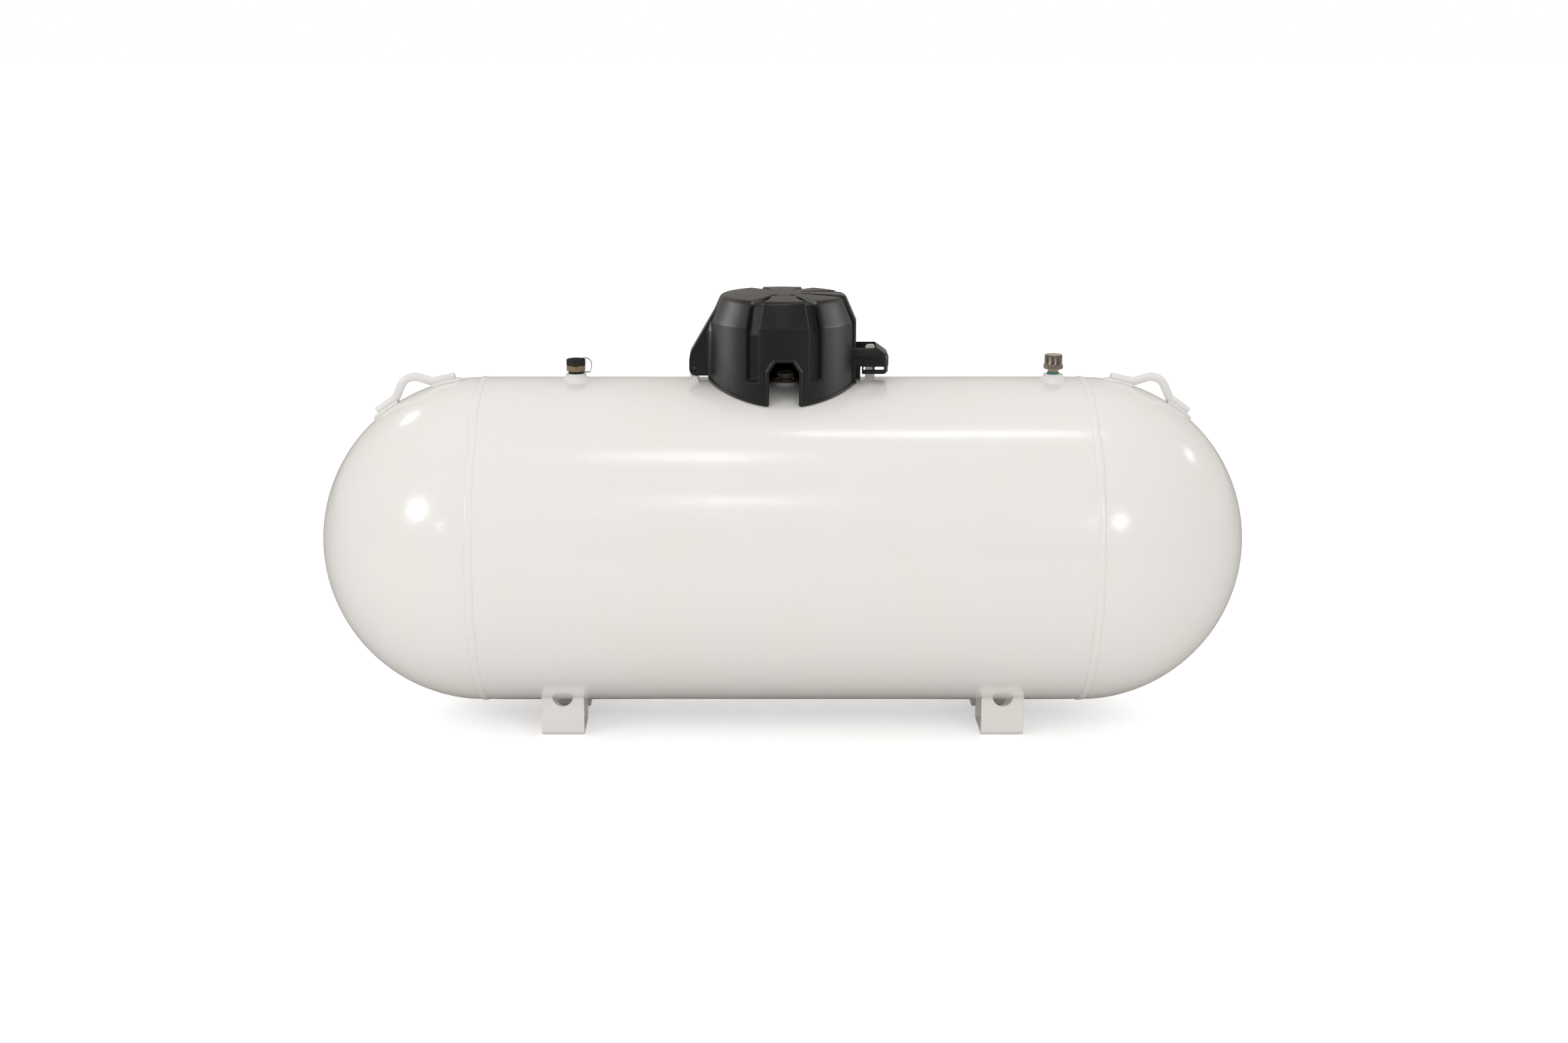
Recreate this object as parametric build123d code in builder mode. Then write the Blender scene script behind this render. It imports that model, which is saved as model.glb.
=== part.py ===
"""Horizontal propane storage tank: 250 US gallon class, 31.5 in shell, hinged dome over the valves.

Units are millimetres. The origin is on the ground under the centre of the tank. +X runs along the
tank, -Y is the front, +Z is up. Every physical piece is its own part and its own STEP file.
Heights in the valve, gauge, dome, hinge and hasp dimensions are above TOP, the top of the shell.
"""

import math
import os

from build123d import *

os.makedirs("parts", exist_ok=True)

# ---------------------------------------------------------------- vessel
R_OUT = 400.0  # shell outside radius, 31.5 in diameter
SHELL_T = 5.2
HEAD_T = 4.2
AXIS_H = 454.0  # height of the tank axis above the ground
TOP = AXIS_H + R_OUT
TANGENT_X = 732.5  # where each hemispherical head meets the shell
ROOT_GAP = 3.0  # between shell and head, filled by the girth weld
BEAD_W = 20.0
BEAD_H = 2.6
BACKING_W = 38.0
BACKING_T = 3.0
SEAM_W = 12.0
SEAM_H = 1.6
SEAM_ANGLE = 20.0  # long seam, degrees below the rear horizontal
SEAM_END_GAP = 0.5  # between the long seam and each girth bead
PORT_DEPTH = 60.0  # how far the holes for the couplings are cut below the top

# ---------------------------------------------------------------- feet
FOOT_X = 538.0
FOOT_W = 104.0
FOOT_OUTER_Y = 184.0
FOOT_INNER_Y = 45.0
FOOT_T = 6.0
FOOT_BEND = 12.0
FOOT_WALL_H = 300.0  # height of the bent strip before it is trimmed to the shell
FOOT_NOTCH_R = 25.0
FOOT_BOLT_R = 9.5
FOOT_BEAD = 7.0

# ---------------------------------------------------------------- lifting lugs
LUG_ANGLE = 24.25  # tilt of each lug from straight up, about the head centre
LUG_BAR_R = 10.5
LUG_END_U = 106.0  # u runs along the tangent at the middle of the lug
LUG_FOOT_U = 50.0
LUG_APEX_V = 53.3  # v runs straight out of the head
LUG_CROWN_R = 40.0
LUG_FOOT_R = 25.0
LUG_SEAT = 1.3  # gap under the ends, closed by the fillet welds
LUG_BEAD_HALF_W = 19.0
LUG_BEAD_END = 6.0  # how far the weld runs past the end of the bar
LUG_BEAD_TOP = -1.5  # shoulder of the weld below the bar axis
LUG_BEAD_SIDE = -9.5
LUG_BEAD_DEPTH = -16.0
LUG_BEAD_SLOT = 9.0  # clear strip under the bar between its two welds

# ---------------------------------------------------------------- couplings: x, y, outer r, bore r, stand
LIQUID = (-505.0, 0.0, 25.0, 17.5, 14.0)
RELIEF = (660.0, 0.0, 24.5, 14.5, 13.0)
FILL = (-95.0, 0.0, 28.5, 20.5, 16.0)
SERVICE = (95.0, 0.0, 17.5, 13.3, 14.0)
GAUGE = (6.0, -45.0, 30.0, 16.0, 2.0)
COUPLING_DEPTH = 26.0
COUPLING_CHAMFER = 1.5
WELD_LEG = 9.0
WELD_ROOT = 8.0  # depth of every weld ring and prism before it is trimmed to the shell
RUN = 0.05  # running clearance on radius
HEX_CORNER_CUT = 2.0  # height of the chamfer on the corners of a hexagon
PIPE_BOTTOM = -14.0  # lower end of the threads screwed into the couplings

# ---------------------------------------------------------------- liquid withdrawal valve
LQ_NECK_R = 15.0
LQ_HEX_AF = 44.45
LQ_HEX_Z0 = 20.0
LQ_HEX_Z1 = 34.0
LQ_ACME_R = 19.8
LQ_ACME_TOP = 44.0
LQ_INLET_R = 13.0
LQ_SEAT_Z = 16.0
LQ_SEAT_R = 8.0
LQ_OUTLET_R = 14.0
LQ_DISC_R = 11.0
LQ_DISC_Z = 12.0
LQ_STEM_R = 3.0
LQ_STEM_Z0 = -6.0
LQ_SPRING_R = 6.0
LQ_SPRING_WIRE = 0.7
LQ_SPRING_TURNS = 5
LQ_GUIDE_Z = -10.0
LQ_GUIDE_HOLE_R = 2.0
LQ_GUIDE_HOLE_AT = 7.0
LQ_TUBE_R = 10.0
LQ_TUBE_BORE = 8.5
LQ_TUBE_END = -765.0
LQ_CAP_R = 23.3
LQ_CAP_Z0 = 34.2
LQ_CAP_TOP = 49.0
LQ_CAP_FILLET = 2.5
LQ_GASKET_T = 2.0
LQ_GASKET_R = 19.5
LQ_KNOB_R = 8.0
LQ_KNOB_TOP = 51.0
LQ_RING_R = 18.2
LQ_RING_Z0 = 14.1
LQ_RING_Z1 = 19.6
LQ_EAR_REACH = 35.0  # from the valve axis to the end of the ring's ear
LQ_EAR_Z = 17.0
LQ_EAR_T = 2.0
STRAP_W = 5.0
STRAP_T = 1.5
STRAP_EYE_R = 12.0
STRAP_EYE_Z = 49.1
STRAP_BULGE = 38.0
STRAP_FOOT_Z = 18.6

# ---------------------------------------------------------------- relief valve
RV_BOTTOM = -20.0
RV_NECK_R = 13.0
RV_HEX_AF = 44.45
RV_HEX_Z0 = 25.4
RV_HEX_Z1 = 37.0
RV_HOOD_R = 21.5
RV_HOOD_BORE = 17.0
RV_HOOD_TOP = 60.0
RV_THROAT_R = 10.0
RV_GUIDE_TOP = -16.0
RV_STEM_R = 3.0
RV_VENT_R = 2.4
RV_VENT_AT = 7.0
RV_LEDGE = 10.0
RV_LEDGE_AT = 15.0
RV_LEDGE_H = 6.0
RV_SEAL_R = 14.6
RV_SEAL_T = 4.0
RV_DISC_R = 13.5
RV_DISC_T = 5.0
RV_STEM_END = -72.0
RV_NUT_AF = 18.0
RV_NUT_Z0 = -70.0
RV_NUT_Z1 = -64.0
RV_SPRING_R = 6.5
RV_SPRING_WIRE = 1.3
RV_SPRING_TURNS = 8
RV_CAP_Z0 = 54.0
RV_CAP_Z1 = 59.0
RV_CAP_SKIN = 1.5
RV_CAP_WALL = 3.0

# ---------------------------------------------------------------- fill valve
FV_HEX_AF = 50.8
FV_HEX_TOP = 32.0
FV_ACME_R = 22.2
FV_ACME_TOP = 72.0
FV_INLET_R = 17.0
FV_SEAT_Z0 = 42.0
FV_SEAT_Z1 = 46.0
FV_SEAT_R = 11.0
FV_THROAT_R = 16.0
FV_STEM_R = 3.0
FV_DISC_R = 13.0
FV_DISC_Z = 37.0
FV_STEM_TOP = 60.0
FV_STEM_END = 8.0
FV_SPRING_R = 5.0
FV_SPRING_WIRE = 0.9
FV_SPRING_TURNS = 5
FV_GUIDE_Z0 = 6.0
FV_GUIDE_Z1 = 10.0
FV_GUIDE_BORE = 14.0
FV_GUIDE_ARM = 4.0
FV_HUB_R = 6.0
FV_HUB_Z0 = -6.0
FV_HUB_Z1 = 14.0
FV_CHECK_R = 19.0
FV_CHECK_T = 4.0
FV_CHECK_STEM_TOP = -2.0
FV_GASKET_R = 21.0
FV_GASKET_T = 3.0
FV_CAP_R = 27.0
FV_CAP_Z0 = 44.0
FV_CAP_TOP = 80.0
FV_CAP_FILLET = 3.0
FV_RIB_R = 2.0
FV_RIB_H = 26.0
FV_RIB_Z = 60.0
FV_RIB_AT = 27.5
FV_RIB_COUNT = 12

# ---------------------------------------------------------------- service valve
SV_HEX_AF = 36.0
SV_HEX_TOP = 30.0
SV_BODY_R = 17.0
SV_BODY_TOP = 50.0
SV_ARM_Z = 36.0
SV_ARM_R = 13.5
SV_ARM_REACH = 46.0  # from the valve axis to the end of the outlet arm
SV_ARM_START = 6.0
SV_PLUG_BORE = 11.2
SV_PLUG_BORE_L = 20.0
SV_BORE = 4.0
SV_SEAT_Z = 27.0
SV_CHAMBER_R = 8.0
SV_VENT_Z = 22.0
SV_VENT_ARM_R = 7.0
SV_VENT_REACH = 30.0
SV_VENT_BORE = 1.0
SV_BLEED_BORE = 2.5
SV_BLEED_X = 21.0
SV_DIP_X = 8.6  # dip tube, off the valve axis
SV_DIP_R = 3.0
SV_DIP_BORE = 2.0
SV_DIP_TOP = -4.0
SV_DIP_END = -160.0
SV_BONNET_AF = 30.0
SV_BONNET_HEX_TOP = 62.0
SV_BONNET_TOP = 70.0
SV_BONNET_R = 9.0
SV_SEAT_TOP = 43.0
SV_SEAT_SKIN = 3.0
SV_STEM_Z0 = 37.0
SV_STEM_TOP = 84.0
SV_WHEEL_R = 22.0
SV_WHEEL_Z0 = 73.0
SV_WHEEL_Z1 = 83.0
SV_LOBES = 6
SV_LOBE_R = 5.0
SV_LOBE_AT = 21.0
SV_WINDOW_R = 3.5
SV_WINDOW_AT = 12.5
SV_SCREW_R = 6.0
SV_SCREW_TOP = 87.0
SLOT_W = 1.2
SLOT_DEPTH = 1.0
PLUG_RING_R = 10.5
PLUG_RING_T = 3.0
PLUG_RING_Y = 30.0  # middle of the ring in front of the valve axis
PLUG_NOSE_R = 6.0
PLUG_NOSE_L = 6.0
PLUG_BODY_Y = 39.0
PLUG_BODY_L = 15.0
PLUG_HEX_AF = 22.2
PLUG_HEX_Y0 = 46.4
PLUG_HEX_L = 10.0
BLEED_HEAD_R = 6.5
BLEED_HEAD_X = 31.0
BLEED_HEAD_L = 10.0
BLEED_SHANK_X = 22.0

# ---------------------------------------------------------------- float gauge
FG_FLANGE_Z0 = 3.5
FG_FLANGE_Z1 = 10.0
FG_GASKET_R = 29.0
FG_NECK_R = 15.5
FG_NECK_END = -20.0
FG_CHAMBER_R = 12.0
FG_CHAMBER_Z0 = -12.0
FG_WALL_Z = 6.0  # solid wall the magnet pulls through, from here up
FG_SCREW_AT = 25.5
FG_SCREWS = 4
FG_SCREW_HOLE = 2.6
FG_SCREW_R = 2.5
FG_SCREW_HEAD_R = 4.0
FG_SCREW_TOP = 14.0
FG_SCREW_END = 2.0
FG_DIAL_R = 21.0
FG_DIAL_TOP = 24.0
FG_DIAL_BORE = 18.5
FG_DIAL_FLOOR = 14.0
FG_DIAL_CHAMFER = 0.8
FG_HUB_R = 1.5
FG_HUB_TOP = 16.0
FG_NEEDLE_Z0 = 16.1
FG_NEEDLE_T = 1.2
FG_NEEDLE_HUB_R = 3.0
FG_NEEDLE_W = 1.6
FG_NEEDLE_REACH = 16.0
FG_NEEDLE_TAIL = 4.0
FG_LENS_Z0 = 20.5
FG_LENS_Z1 = 23.0
FG_TUBE_R = 6.0
FG_SHAFT_R = 2.5
FG_MAGNET_R = 10.0
FG_MAGNET_Z0 = -8.0
FG_MAGNET_Z1 = -2.0
# The next heights are above the tank axis, where the float's arm pivots.
FG_TUBE_END = 26.0
FG_BRIDGE_Z0 = 26.0
FG_BRIDGE_Z1 = 34.0
FG_BRIDGE_BACK = 22.0
FG_YOKE_W = 12.0
FG_YOKE_T = 7.0
FG_YOKE_Y = 18.5
FG_YOKE_Z0 = -16.0
PIVOT_R = 3.0
GEAR_BACK_R = 4.9
GEAR_RIM_R = 7.9
GEAR_Z0 = 10.0
GEAR_Z1 = 16.0
GEAR_Z2 = 19.0
WHEEL_Y0 = 5.0
WHEEL_Y1 = 8.0
WHEEL_Y2 = 11.0
WHEEL_R0 = 9.8
WHEEL_R1 = 15.8
ARM_LENGTH = 330.0
ARM_SHORT = 32.0  # from the pivot to the counterweight
ARM_R = 2.5
ARM_Y = 28.0
ARM_HUB_R = 7.0
ARM_HUB_L = 8.0
WEIGHT_R = 12.0
WEIGHT_L = 24.0
BULB_R = 30.0
BULB_L = 90.0
BULB_FILLET = 18.0
BULB_SOCKET = 1.0

# ---------------------------------------------------------------- dome
DOME_TOP = 208.0
DOME_TOP_R = 151.0
DOME_SHOULDER = 146.0
DOME_R = 178.0
DOME_T = 3.5
DOME_GAP = 2.0  # between the dome's rim and the shell
DOME_SKIRT = 80.0  # how far the blank reaches below TOP before it is trimmed
DOME_DRAFT = 1.0  # extra radius at the foot of the blank
CHANNEL_W = 29.0
CHANNEL_D = 11.5
CHANNEL_TOP_D = 9.0
CHANNEL_END = 19.0
CHANNEL_BREAK = 17.0  # how far the channel's floor turns below the shoulder
CHANNEL_REACH = 200.0
CHANNEL_AT = (-155.0, -25.0, 25.0, 73.0, 113.5, 155.0)  # degrees round from the front towards +X
BOSS_R = 44.0
BOSS_H = 4.0
BOSS_DEPTH = 12.0
NOTCH_HALF_W = 35.0
NOTCH_TOP = 68.0
NOTCH_KNEE = 44.0
NOTCH_TOP_HALF_W = 19.0
NOTCH_REACH = 250.0
LIP_W = 7.0
LIP_OUT = 4.0
LIP_ROOT = 1.0

# ---------------------------------------------------------------- hinge end of the dome, bracket and pin
HINGE_X = -216.0
HINGE_Z = 32.8
HINGE_PIN_R = 3.0
FIN_Y = 30.0
FIN_T = 4.0
HINGE_TOP_X = -153.0
HINGE_TOP_Z = 192.0
HINGE_KNEE_X = -225.0
HINGE_KNEE_Z = 67.0
HINGE_BACK_X = -228.0
HINGE_BACK_Z0 = 34.0
HINGE_BACK_Z1 = 48.0
HINGE_TOE_X = -214.0
HINGE_BOTTOM = 13.0
HINGE_ROOT_X = -150.0
BRACKET_HALF_W = 10.0
BRACKET_T = 5.0
BRACKET_FLOOR = 4.0
BRACKET_TOP = 56.0
BRACKET_ROOT = 6.0

# ---------------------------------------------------------------- latch guard and hasp
LATCH_X0 = 150.0
LATCH_X1 = 255.0
LATCH_Y = 60.0
LATCH_TOP = 83.5
LATCH_TOP_X = 229.0
LATCH_TOP_Y = 54.0
LATCH_CHAMFER_Z = 64.5
LATCH_BOTTOM = 21.0
LATCH_CORNER = 10.0
LATCH_PLAN_R = 16.0
LATCH_T = 4.0
LATCH_RIM_T = 3.0  # thickness at the open top
LATCH_LEG_X = 176.0  # outer edge of the legs that run down beside the wall
LATCH_LEG_TOP = 43.0
LATCH_GAP_X = 190.0  # gap between each leg and the slotted wall
LATCH_SLOT_X = (205.0, 232.0)
LATCH_SLOT_Z = 35.2
LATCH_SLOT_L = 23.0
LATCH_SLOT_H = 7.0
RIB_X = 189.0  # hollow rib down the wall behind the hasp
RIB_HALF_Y = 15.0
RIB_TOP = 60.0
HASP_X0 = 201.0
HASP_X1 = 224.0
HASP_T = 4.0
HASP_TOP = 85.4
HASP_CORNER_X = 5.0
HASP_CORNER_Z = 4.0
HASP_HOLE_Z = 52.0
HASP_HOLE_R = 5.0
HASP_ROOT = 4.0
BRACE_BEAD = 4.0  # fillet weld along the hasp and the hinge bracket

# ---------------------------------------------------------------- data plate
PLATE_L = 90.0
PLATE_H = 60.0
PLATE_T = 1.2
PLATE_Y = 105.0


def save(builder, name):
    builder.part.label = name
    export_step(builder.part, "parts/" + name + ".step")


def tank_cut(radius=R_OUT):
    """Take the outside of the vessel away from whatever is being built."""
    with Locations((0, 0, AXIS_H)):
        Cylinder(radius, 4 * R_OUT, rotation=(0, 90, 0), mode=Mode.SUBTRACT)


def post(x, y, z0, z1, radius, mode=Mode.ADD):
    """Upright cylinder between two heights above the top of the shell."""
    with Locations((x, y, TOP + (z0 + z1) / 2)):
        Cylinder(radius, z1 - z0, mode=mode)


def bar_y(x, y0, y1, z, radius, mode=Mode.ADD):
    """Cylinder along Y at a height above the top of the shell."""
    with Locations((x, (y0 + y1) / 2, TOP + z)):
        Cylinder(radius, abs(y1 - y0), rotation=(90, 0, 0), mode=mode)


def bar_x(x0, x1, y, z, radius, mode=Mode.ADD):
    """Cylinder along X at a height above the top of the shell."""
    with Locations(((x0 + x1) / 2, y, TOP + z)):
        Cylinder(radius, x1 - x0, rotation=(0, 90, 0), mode=mode)


def hex_post(x, y, z0, z1, across_flats, turn=0.0):
    """Upright hexagon between two heights above the top of the shell."""
    with BuildSketch(Plane.XY.offset(TOP + z0)) as hexagon:
        with Locations((x, y)):
            RegularPolygon(across_flats / 2, 6, major_radius=False, rotation=turn)
    extrude(hexagon.sketch, amount=z1 - z0)


def spanner_hex(x, y, z0, z1, across_flats, turn=0.0):
    """Hexagon with its corners chamfered top and bottom; the first thing built in its part."""
    hex_post(x, y, z0, z1, across_flats, turn)
    flat_r = across_flats / 2
    corner_r = flat_r / math.cos(math.radians(30)) + 0.1
    with BuildSketch(Plane.XZ.offset(-y)) as barrel:
        with BuildLine():
            Polyline(
                (x, TOP + z0),
                (x + flat_r, TOP + z0),
                (x + corner_r, TOP + z0 + HEX_CORNER_CUT),
                (x + corner_r, TOP + z1 - HEX_CORNER_CUT),
                (x + flat_r, TOP + z1),
                (x, TOP + z1),
                close=True,
            )
        make_face()
    revolve(barrel.sketch, axis=Axis((x, y, 0), (0, 0, 1)), mode=Mode.INTERSECT)


def coil(x, y, z0, z1, radius, wire, turns):
    """Helical spring between two heights above the top of the shell."""
    height = z1 - z0 - 2 * wire
    with BuildLine():
        path = Helix(height / turns, height, radius, center=(x, y, TOP + z0 + wire))
    with BuildSketch(Plane(origin=path @ 0, z_dir=path % 0)) as section:
        Circle(wire)
    sweep(section.sketch, path=path, is_frenet=True)


# ================================================================ pressure vessel
shell_half = TANGENT_X - ROOT_GAP / 2
with BuildPart() as shell:
    with Locations((0, 0, AXIS_H)):
        Cylinder(R_OUT, 2 * shell_half, rotation=(0, 90, 0))
        Cylinder(R_OUT - SHELL_T, 2 * shell_half, rotation=(0, 90, 0), mode=Mode.SUBTRACT)
    for cx, cy, outer, bore, stand in (LIQUID, RELIEF, FILL, SERVICE, GAUGE):
        post(cx, cy, -PORT_DEPTH, stand, outer, Mode.SUBTRACT)
save(shell, "shell")

for side, name in ((-1, "left"), (1, "right")):
    centre_x = side * (TANGENT_X + ROOT_GAP / 2)
    with BuildPart() as head:
        with Locations((centre_x, 0, AXIS_H)):
            Sphere(R_OUT)
            Sphere(R_OUT - HEAD_T, mode=Mode.SUBTRACT)
        with Locations((centre_x - side * R_OUT, 0, AXIS_H)):
            Box(2 * R_OUT, 3 * R_OUT, 3 * R_OUT, mode=Mode.SUBTRACT)
    save(head, "head_" + name)

# Girth welds: a root run through the wall and a low cap on top of it.
with BuildPart() as girth_welds:
    for seam_x in (-TANGENT_X, TANGENT_X):
        with BuildSketch(Plane.XZ):
            with BuildLine():
                surface = AXIS_H + R_OUT
                root = surface - HEAD_T
                Polyline(
                    (seam_x - BEAD_W / 2, surface),
                    (seam_x - ROOT_GAP / 2, surface),
                    (seam_x - ROOT_GAP / 2, root),
                    (seam_x + ROOT_GAP / 2, root),
                    (seam_x + ROOT_GAP / 2, surface),
                    (seam_x + BEAD_W / 2, surface),
                )
                ThreePointArc(
                    (seam_x + BEAD_W / 2, surface),
                    (seam_x, surface + BEAD_H),
                    (seam_x - BEAD_W / 2, surface),
                )
            make_face()
        revolve(axis=Axis((0, 0, AXIS_H), (1, 0, 0)))
save(girth_welds, "girth_welds")

# Backing rings inside the two joints.
with BuildPart() as backing_rings:
    for seam_x in (-TANGENT_X, TANGENT_X):
        with Locations((seam_x, 0, AXIS_H)):
            Cylinder(R_OUT - SHELL_T, BACKING_W, rotation=(0, 90, 0))
            Cylinder(R_OUT - SHELL_T - BACKING_T, BACKING_W, rotation=(0, 90, 0), mode=Mode.SUBTRACT)
save(backing_rings, "backing_rings")

# Longitudinal weld of the rolled shell, low on the rear side.
seam_turn = math.radians(SEAM_ANGLE)
seam_length = 2 * (TANGENT_X - BEAD_W / 2 - SEAM_END_GAP)
with BuildPart() as long_weld:
    with BuildSketch(Plane.YZ.offset(-seam_length / 2)):
        with Locations((0, AXIS_H)):
            Circle(R_OUT + SEAM_H)
            Circle(R_OUT, mode=Mode.SUBTRACT)
        with Locations((R_OUT * math.cos(seam_turn), AXIS_H - R_OUT * math.sin(seam_turn))):
            Rectangle(SEAM_W, SEAM_W, rotation=-SEAM_ANGLE, mode=Mode.INTERSECT)
    extrude(amount=seam_length)
save(long_weld, "long_weld")

# ================================================================ feet
foot_mid_y = (FOOT_OUTER_Y + FOOT_INNER_Y) / 2
foot_depth = FOOT_OUTER_Y - FOOT_INNER_Y
wall_mid = FOOT_WALL_H / 2


def under_shell(y):
    """Height of the outside of the shell's underside at a distance y from the centre line."""
    return AXIS_H - math.sqrt(R_OUT**2 - y**2)


with BuildPart() as feet:
    for x_side in (-1, 1):
        for y_side in (-1, 1):
            fx = x_side * FOOT_X
            fy = y_side * foot_mid_y
            with BuildSketch(Plane.YZ.offset(fx - FOOT_W / 2)):
                with Locations((fy, wall_mid)):
                    RectangleRounded(foot_depth, FOOT_WALL_H, FOOT_BEND)
                with Locations((fy, wall_mid + FOOT_T)):
                    RectangleRounded(
                        foot_depth - 2 * FOOT_T,
                        FOOT_WALL_H,
                        FOOT_BEND - FOOT_T,
                        mode=Mode.SUBTRACT,
                    )
            extrude(amount=FOOT_W)
    tank_cut()
    for x_side in (-1, 1):
        for y_side in (-1, 1):
            for face_y in (FOOT_OUTER_Y, FOOT_INNER_Y):
                with Locations((x_side * FOOT_X, y_side * face_y, under_shell(face_y))):
                    Cylinder(FOOT_NOTCH_R, 5 * FOOT_T, rotation=(90, 0, 0), mode=Mode.SUBTRACT)
            with Locations((x_side * FOOT_X, y_side * foot_mid_y, 0)):
                Cylinder(FOOT_BOLT_R, 5 * FOOT_T, mode=Mode.SUBTRACT)
save(feet, "feet")


# ================================================================ lifting lugs
lug_tilt = math.radians(LUG_ANGLE)


class LugFrame:
    """Directions of one lug: along the tangent at its middle and straight out of the head."""

    def __init__(self, side):
        self.along = Vector(side * math.cos(lug_tilt), 0, -math.sin(lug_tilt))
        self.out = Vector(side * math.sin(lug_tilt), 0, math.cos(lug_tilt))
        self.centre = Vector(side * (TANGENT_X + ROOT_GAP / 2), 0, AXIS_H)

    def point(self, u, v):
        """Point u along the tangent and v outside the head's radius there."""
        return self.centre + self.along * u + self.out * (R_OUT + v)


def resting(u):
    """Height of a bar axis that rests on the head, at u."""
    return math.sqrt((R_OUT + LUG_BAR_R) ** 2 - u**2) - R_OUT + LUG_SEAT


lug_outline = (
    (-LUG_END_U, resting(LUG_END_U)),
    (-LUG_FOOT_U, resting(LUG_FOOT_U)),
    (0, LUG_APEX_V),
    (LUG_FOOT_U, resting(LUG_FOOT_U)),
    (LUG_END_U, resting(LUG_END_U)),
)
with BuildPart() as lugs:
    for side in (-1, 1):
        frame = LugFrame(side)
        with BuildLine():
            lug_path = FilletPolyline(
                *[frame.point(u, v) for u, v in lug_outline],
                radius=[LUG_FOOT_R, LUG_CROWN_R, LUG_FOOT_R],
            )
        with BuildSketch(Plane(origin=lug_path @ 0, z_dir=lug_path % 0)):
            Circle(LUG_BAR_R)
        sweep(path=lug_path)
save(lugs, "lugs")

# Fillet welds of the feet and the lugs.
bead_length = FOOT_W / 2 - FOOT_NOTCH_R
with BuildPart() as attachment_welds:
    for x_side in (-1, 1):
        for y_side in (-1, 1):
            for face_y, outward in ((FOOT_OUTER_Y, 1), (FOOT_INNER_Y, -1)):
                for half in (-1, 1):
                    z_face = under_shell(face_y)
                    middle_x = x_side * FOOT_X + half * (FOOT_NOTCH_R + bead_length / 2)
                    reach_y = face_y + outward * FOOT_BEAD
                    with BuildSketch(Plane.YZ.offset(middle_x - bead_length / 2)):
                        with BuildLine():
                            Polyline(
                                (y_side * face_y, z_face + WELD_ROOT),
                                (y_side * face_y, z_face - FOOT_BEAD),
                                (y_side * reach_y, under_shell(reach_y) - SEAM_END_GAP),
                                (y_side * reach_y, z_face + WELD_ROOT),
                                close=True,
                            )
                        make_face()
                    extrude(amount=bead_length)
    # Down both sides and round the end of each foot of the lug bars.
    for side in (-1, 1):
        frame = LugFrame(side)
        for end in (-1, 1):
            inner = frame.point(end * LUG_FOOT_U, resting(LUG_FOOT_U))
            outer = frame.point(end * (LUG_END_U + LUG_BEAD_END), resting(LUG_END_U))
            run = outer - inner
            bead_plane = Plane(origin=inner, x_dir=(0, 1, 0), z_dir=run)
            up = 1 if bead_plane.y_dir.dot(frame.out) > 0 else -1
            with BuildSketch(bead_plane):
                with BuildLine():
                    Polyline(
                        (-LUG_BEAD_HALF_W, up * LUG_BEAD_DEPTH),
                        (LUG_BEAD_HALF_W, up * LUG_BEAD_DEPTH),
                        (LUG_BEAD_HALF_W, up * LUG_BEAD_SIDE),
                        (-LUG_BEAD_SIDE, up * LUG_BEAD_TOP),
                        (LUG_BEAD_SIDE, up * LUG_BEAD_TOP),
                        (-LUG_BEAD_HALF_W, up * LUG_BEAD_SIDE),
                        close=True,
                    )
                make_face()
            extrude(amount=run.length)
            slot_length = LUG_END_U - LUG_FOOT_U + LUG_BEAD_END
            slot_mid = inner + run * (slot_length / run.length / 2)
            with Locations(Plane(origin=slot_mid, x_dir=(0, 1, 0), z_dir=run)):
                Box(LUG_BEAD_SLOT, 6 * LUG_BAR_R, slot_length, mode=Mode.SUBTRACT)
        with Locations(frame.centre):
            Sphere(R_OUT, mode=Mode.SUBTRACT)
    tank_cut()
    add(lugs.part, mode=Mode.SUBTRACT)
save(attachment_welds, "attachment_welds")

# ================================================================ threaded couplings
for name, spec in (
    ("coupling_liquid", LIQUID),
    ("coupling_relief", RELIEF),
    ("coupling_fill", FILL),
    ("coupling_service", SERVICE),
    ("coupling_gauge", GAUGE),
):
    cx, cy, outer, bore, stand = spec
    with BuildPart() as coupling:
        post(cx, cy, -COUPLING_DEPTH, stand, outer)
        chamfer(coupling.edges().group_by(Axis.Z)[-1], COUPLING_CHAMFER)
        post(cx, cy, -COUPLING_DEPTH, stand, bore, Mode.SUBTRACT)
    save(coupling, name)

# ================================================================ liquid withdrawal valve
lx, ly, liquid_outer, liquid_bore, liquid_stand = LIQUID
with BuildPart() as liquid_body:
    spanner_hex(lx, ly, LQ_HEX_Z0, LQ_HEX_Z1, LQ_HEX_AF, 30)
    post(lx, ly, PIPE_BOTTOM, liquid_stand, liquid_bore)
    post(lx, ly, liquid_stand, LQ_HEX_Z0, LQ_NECK_R)
    post(lx, ly, LQ_HEX_Z1, LQ_ACME_TOP, LQ_ACME_R)
    post(lx, ly, PIPE_BOTTOM, LQ_SEAT_Z, LQ_INLET_R, Mode.SUBTRACT)
    post(lx, ly, LQ_SEAT_Z, LQ_HEX_Z0, LQ_SEAT_R, Mode.SUBTRACT)
    post(lx, ly, LQ_HEX_Z0, LQ_ACME_TOP, LQ_OUTLET_R, Mode.SUBTRACT)
save(liquid_body, "liquid_body")

with BuildPart() as liquid_poppet:
    post(lx, ly, LQ_DISC_Z, LQ_SEAT_Z, LQ_DISC_R)
    post(lx, ly, LQ_STEM_Z0, LQ_HEX_Z1, LQ_STEM_R)
save(liquid_poppet, "liquid_poppet")

with BuildPart() as liquid_spring:
    coil(lx, ly, LQ_GUIDE_Z, LQ_DISC_Z, LQ_SPRING_R, LQ_SPRING_WIRE, LQ_SPRING_TURNS)
save(liquid_spring, "liquid_spring")

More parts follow.
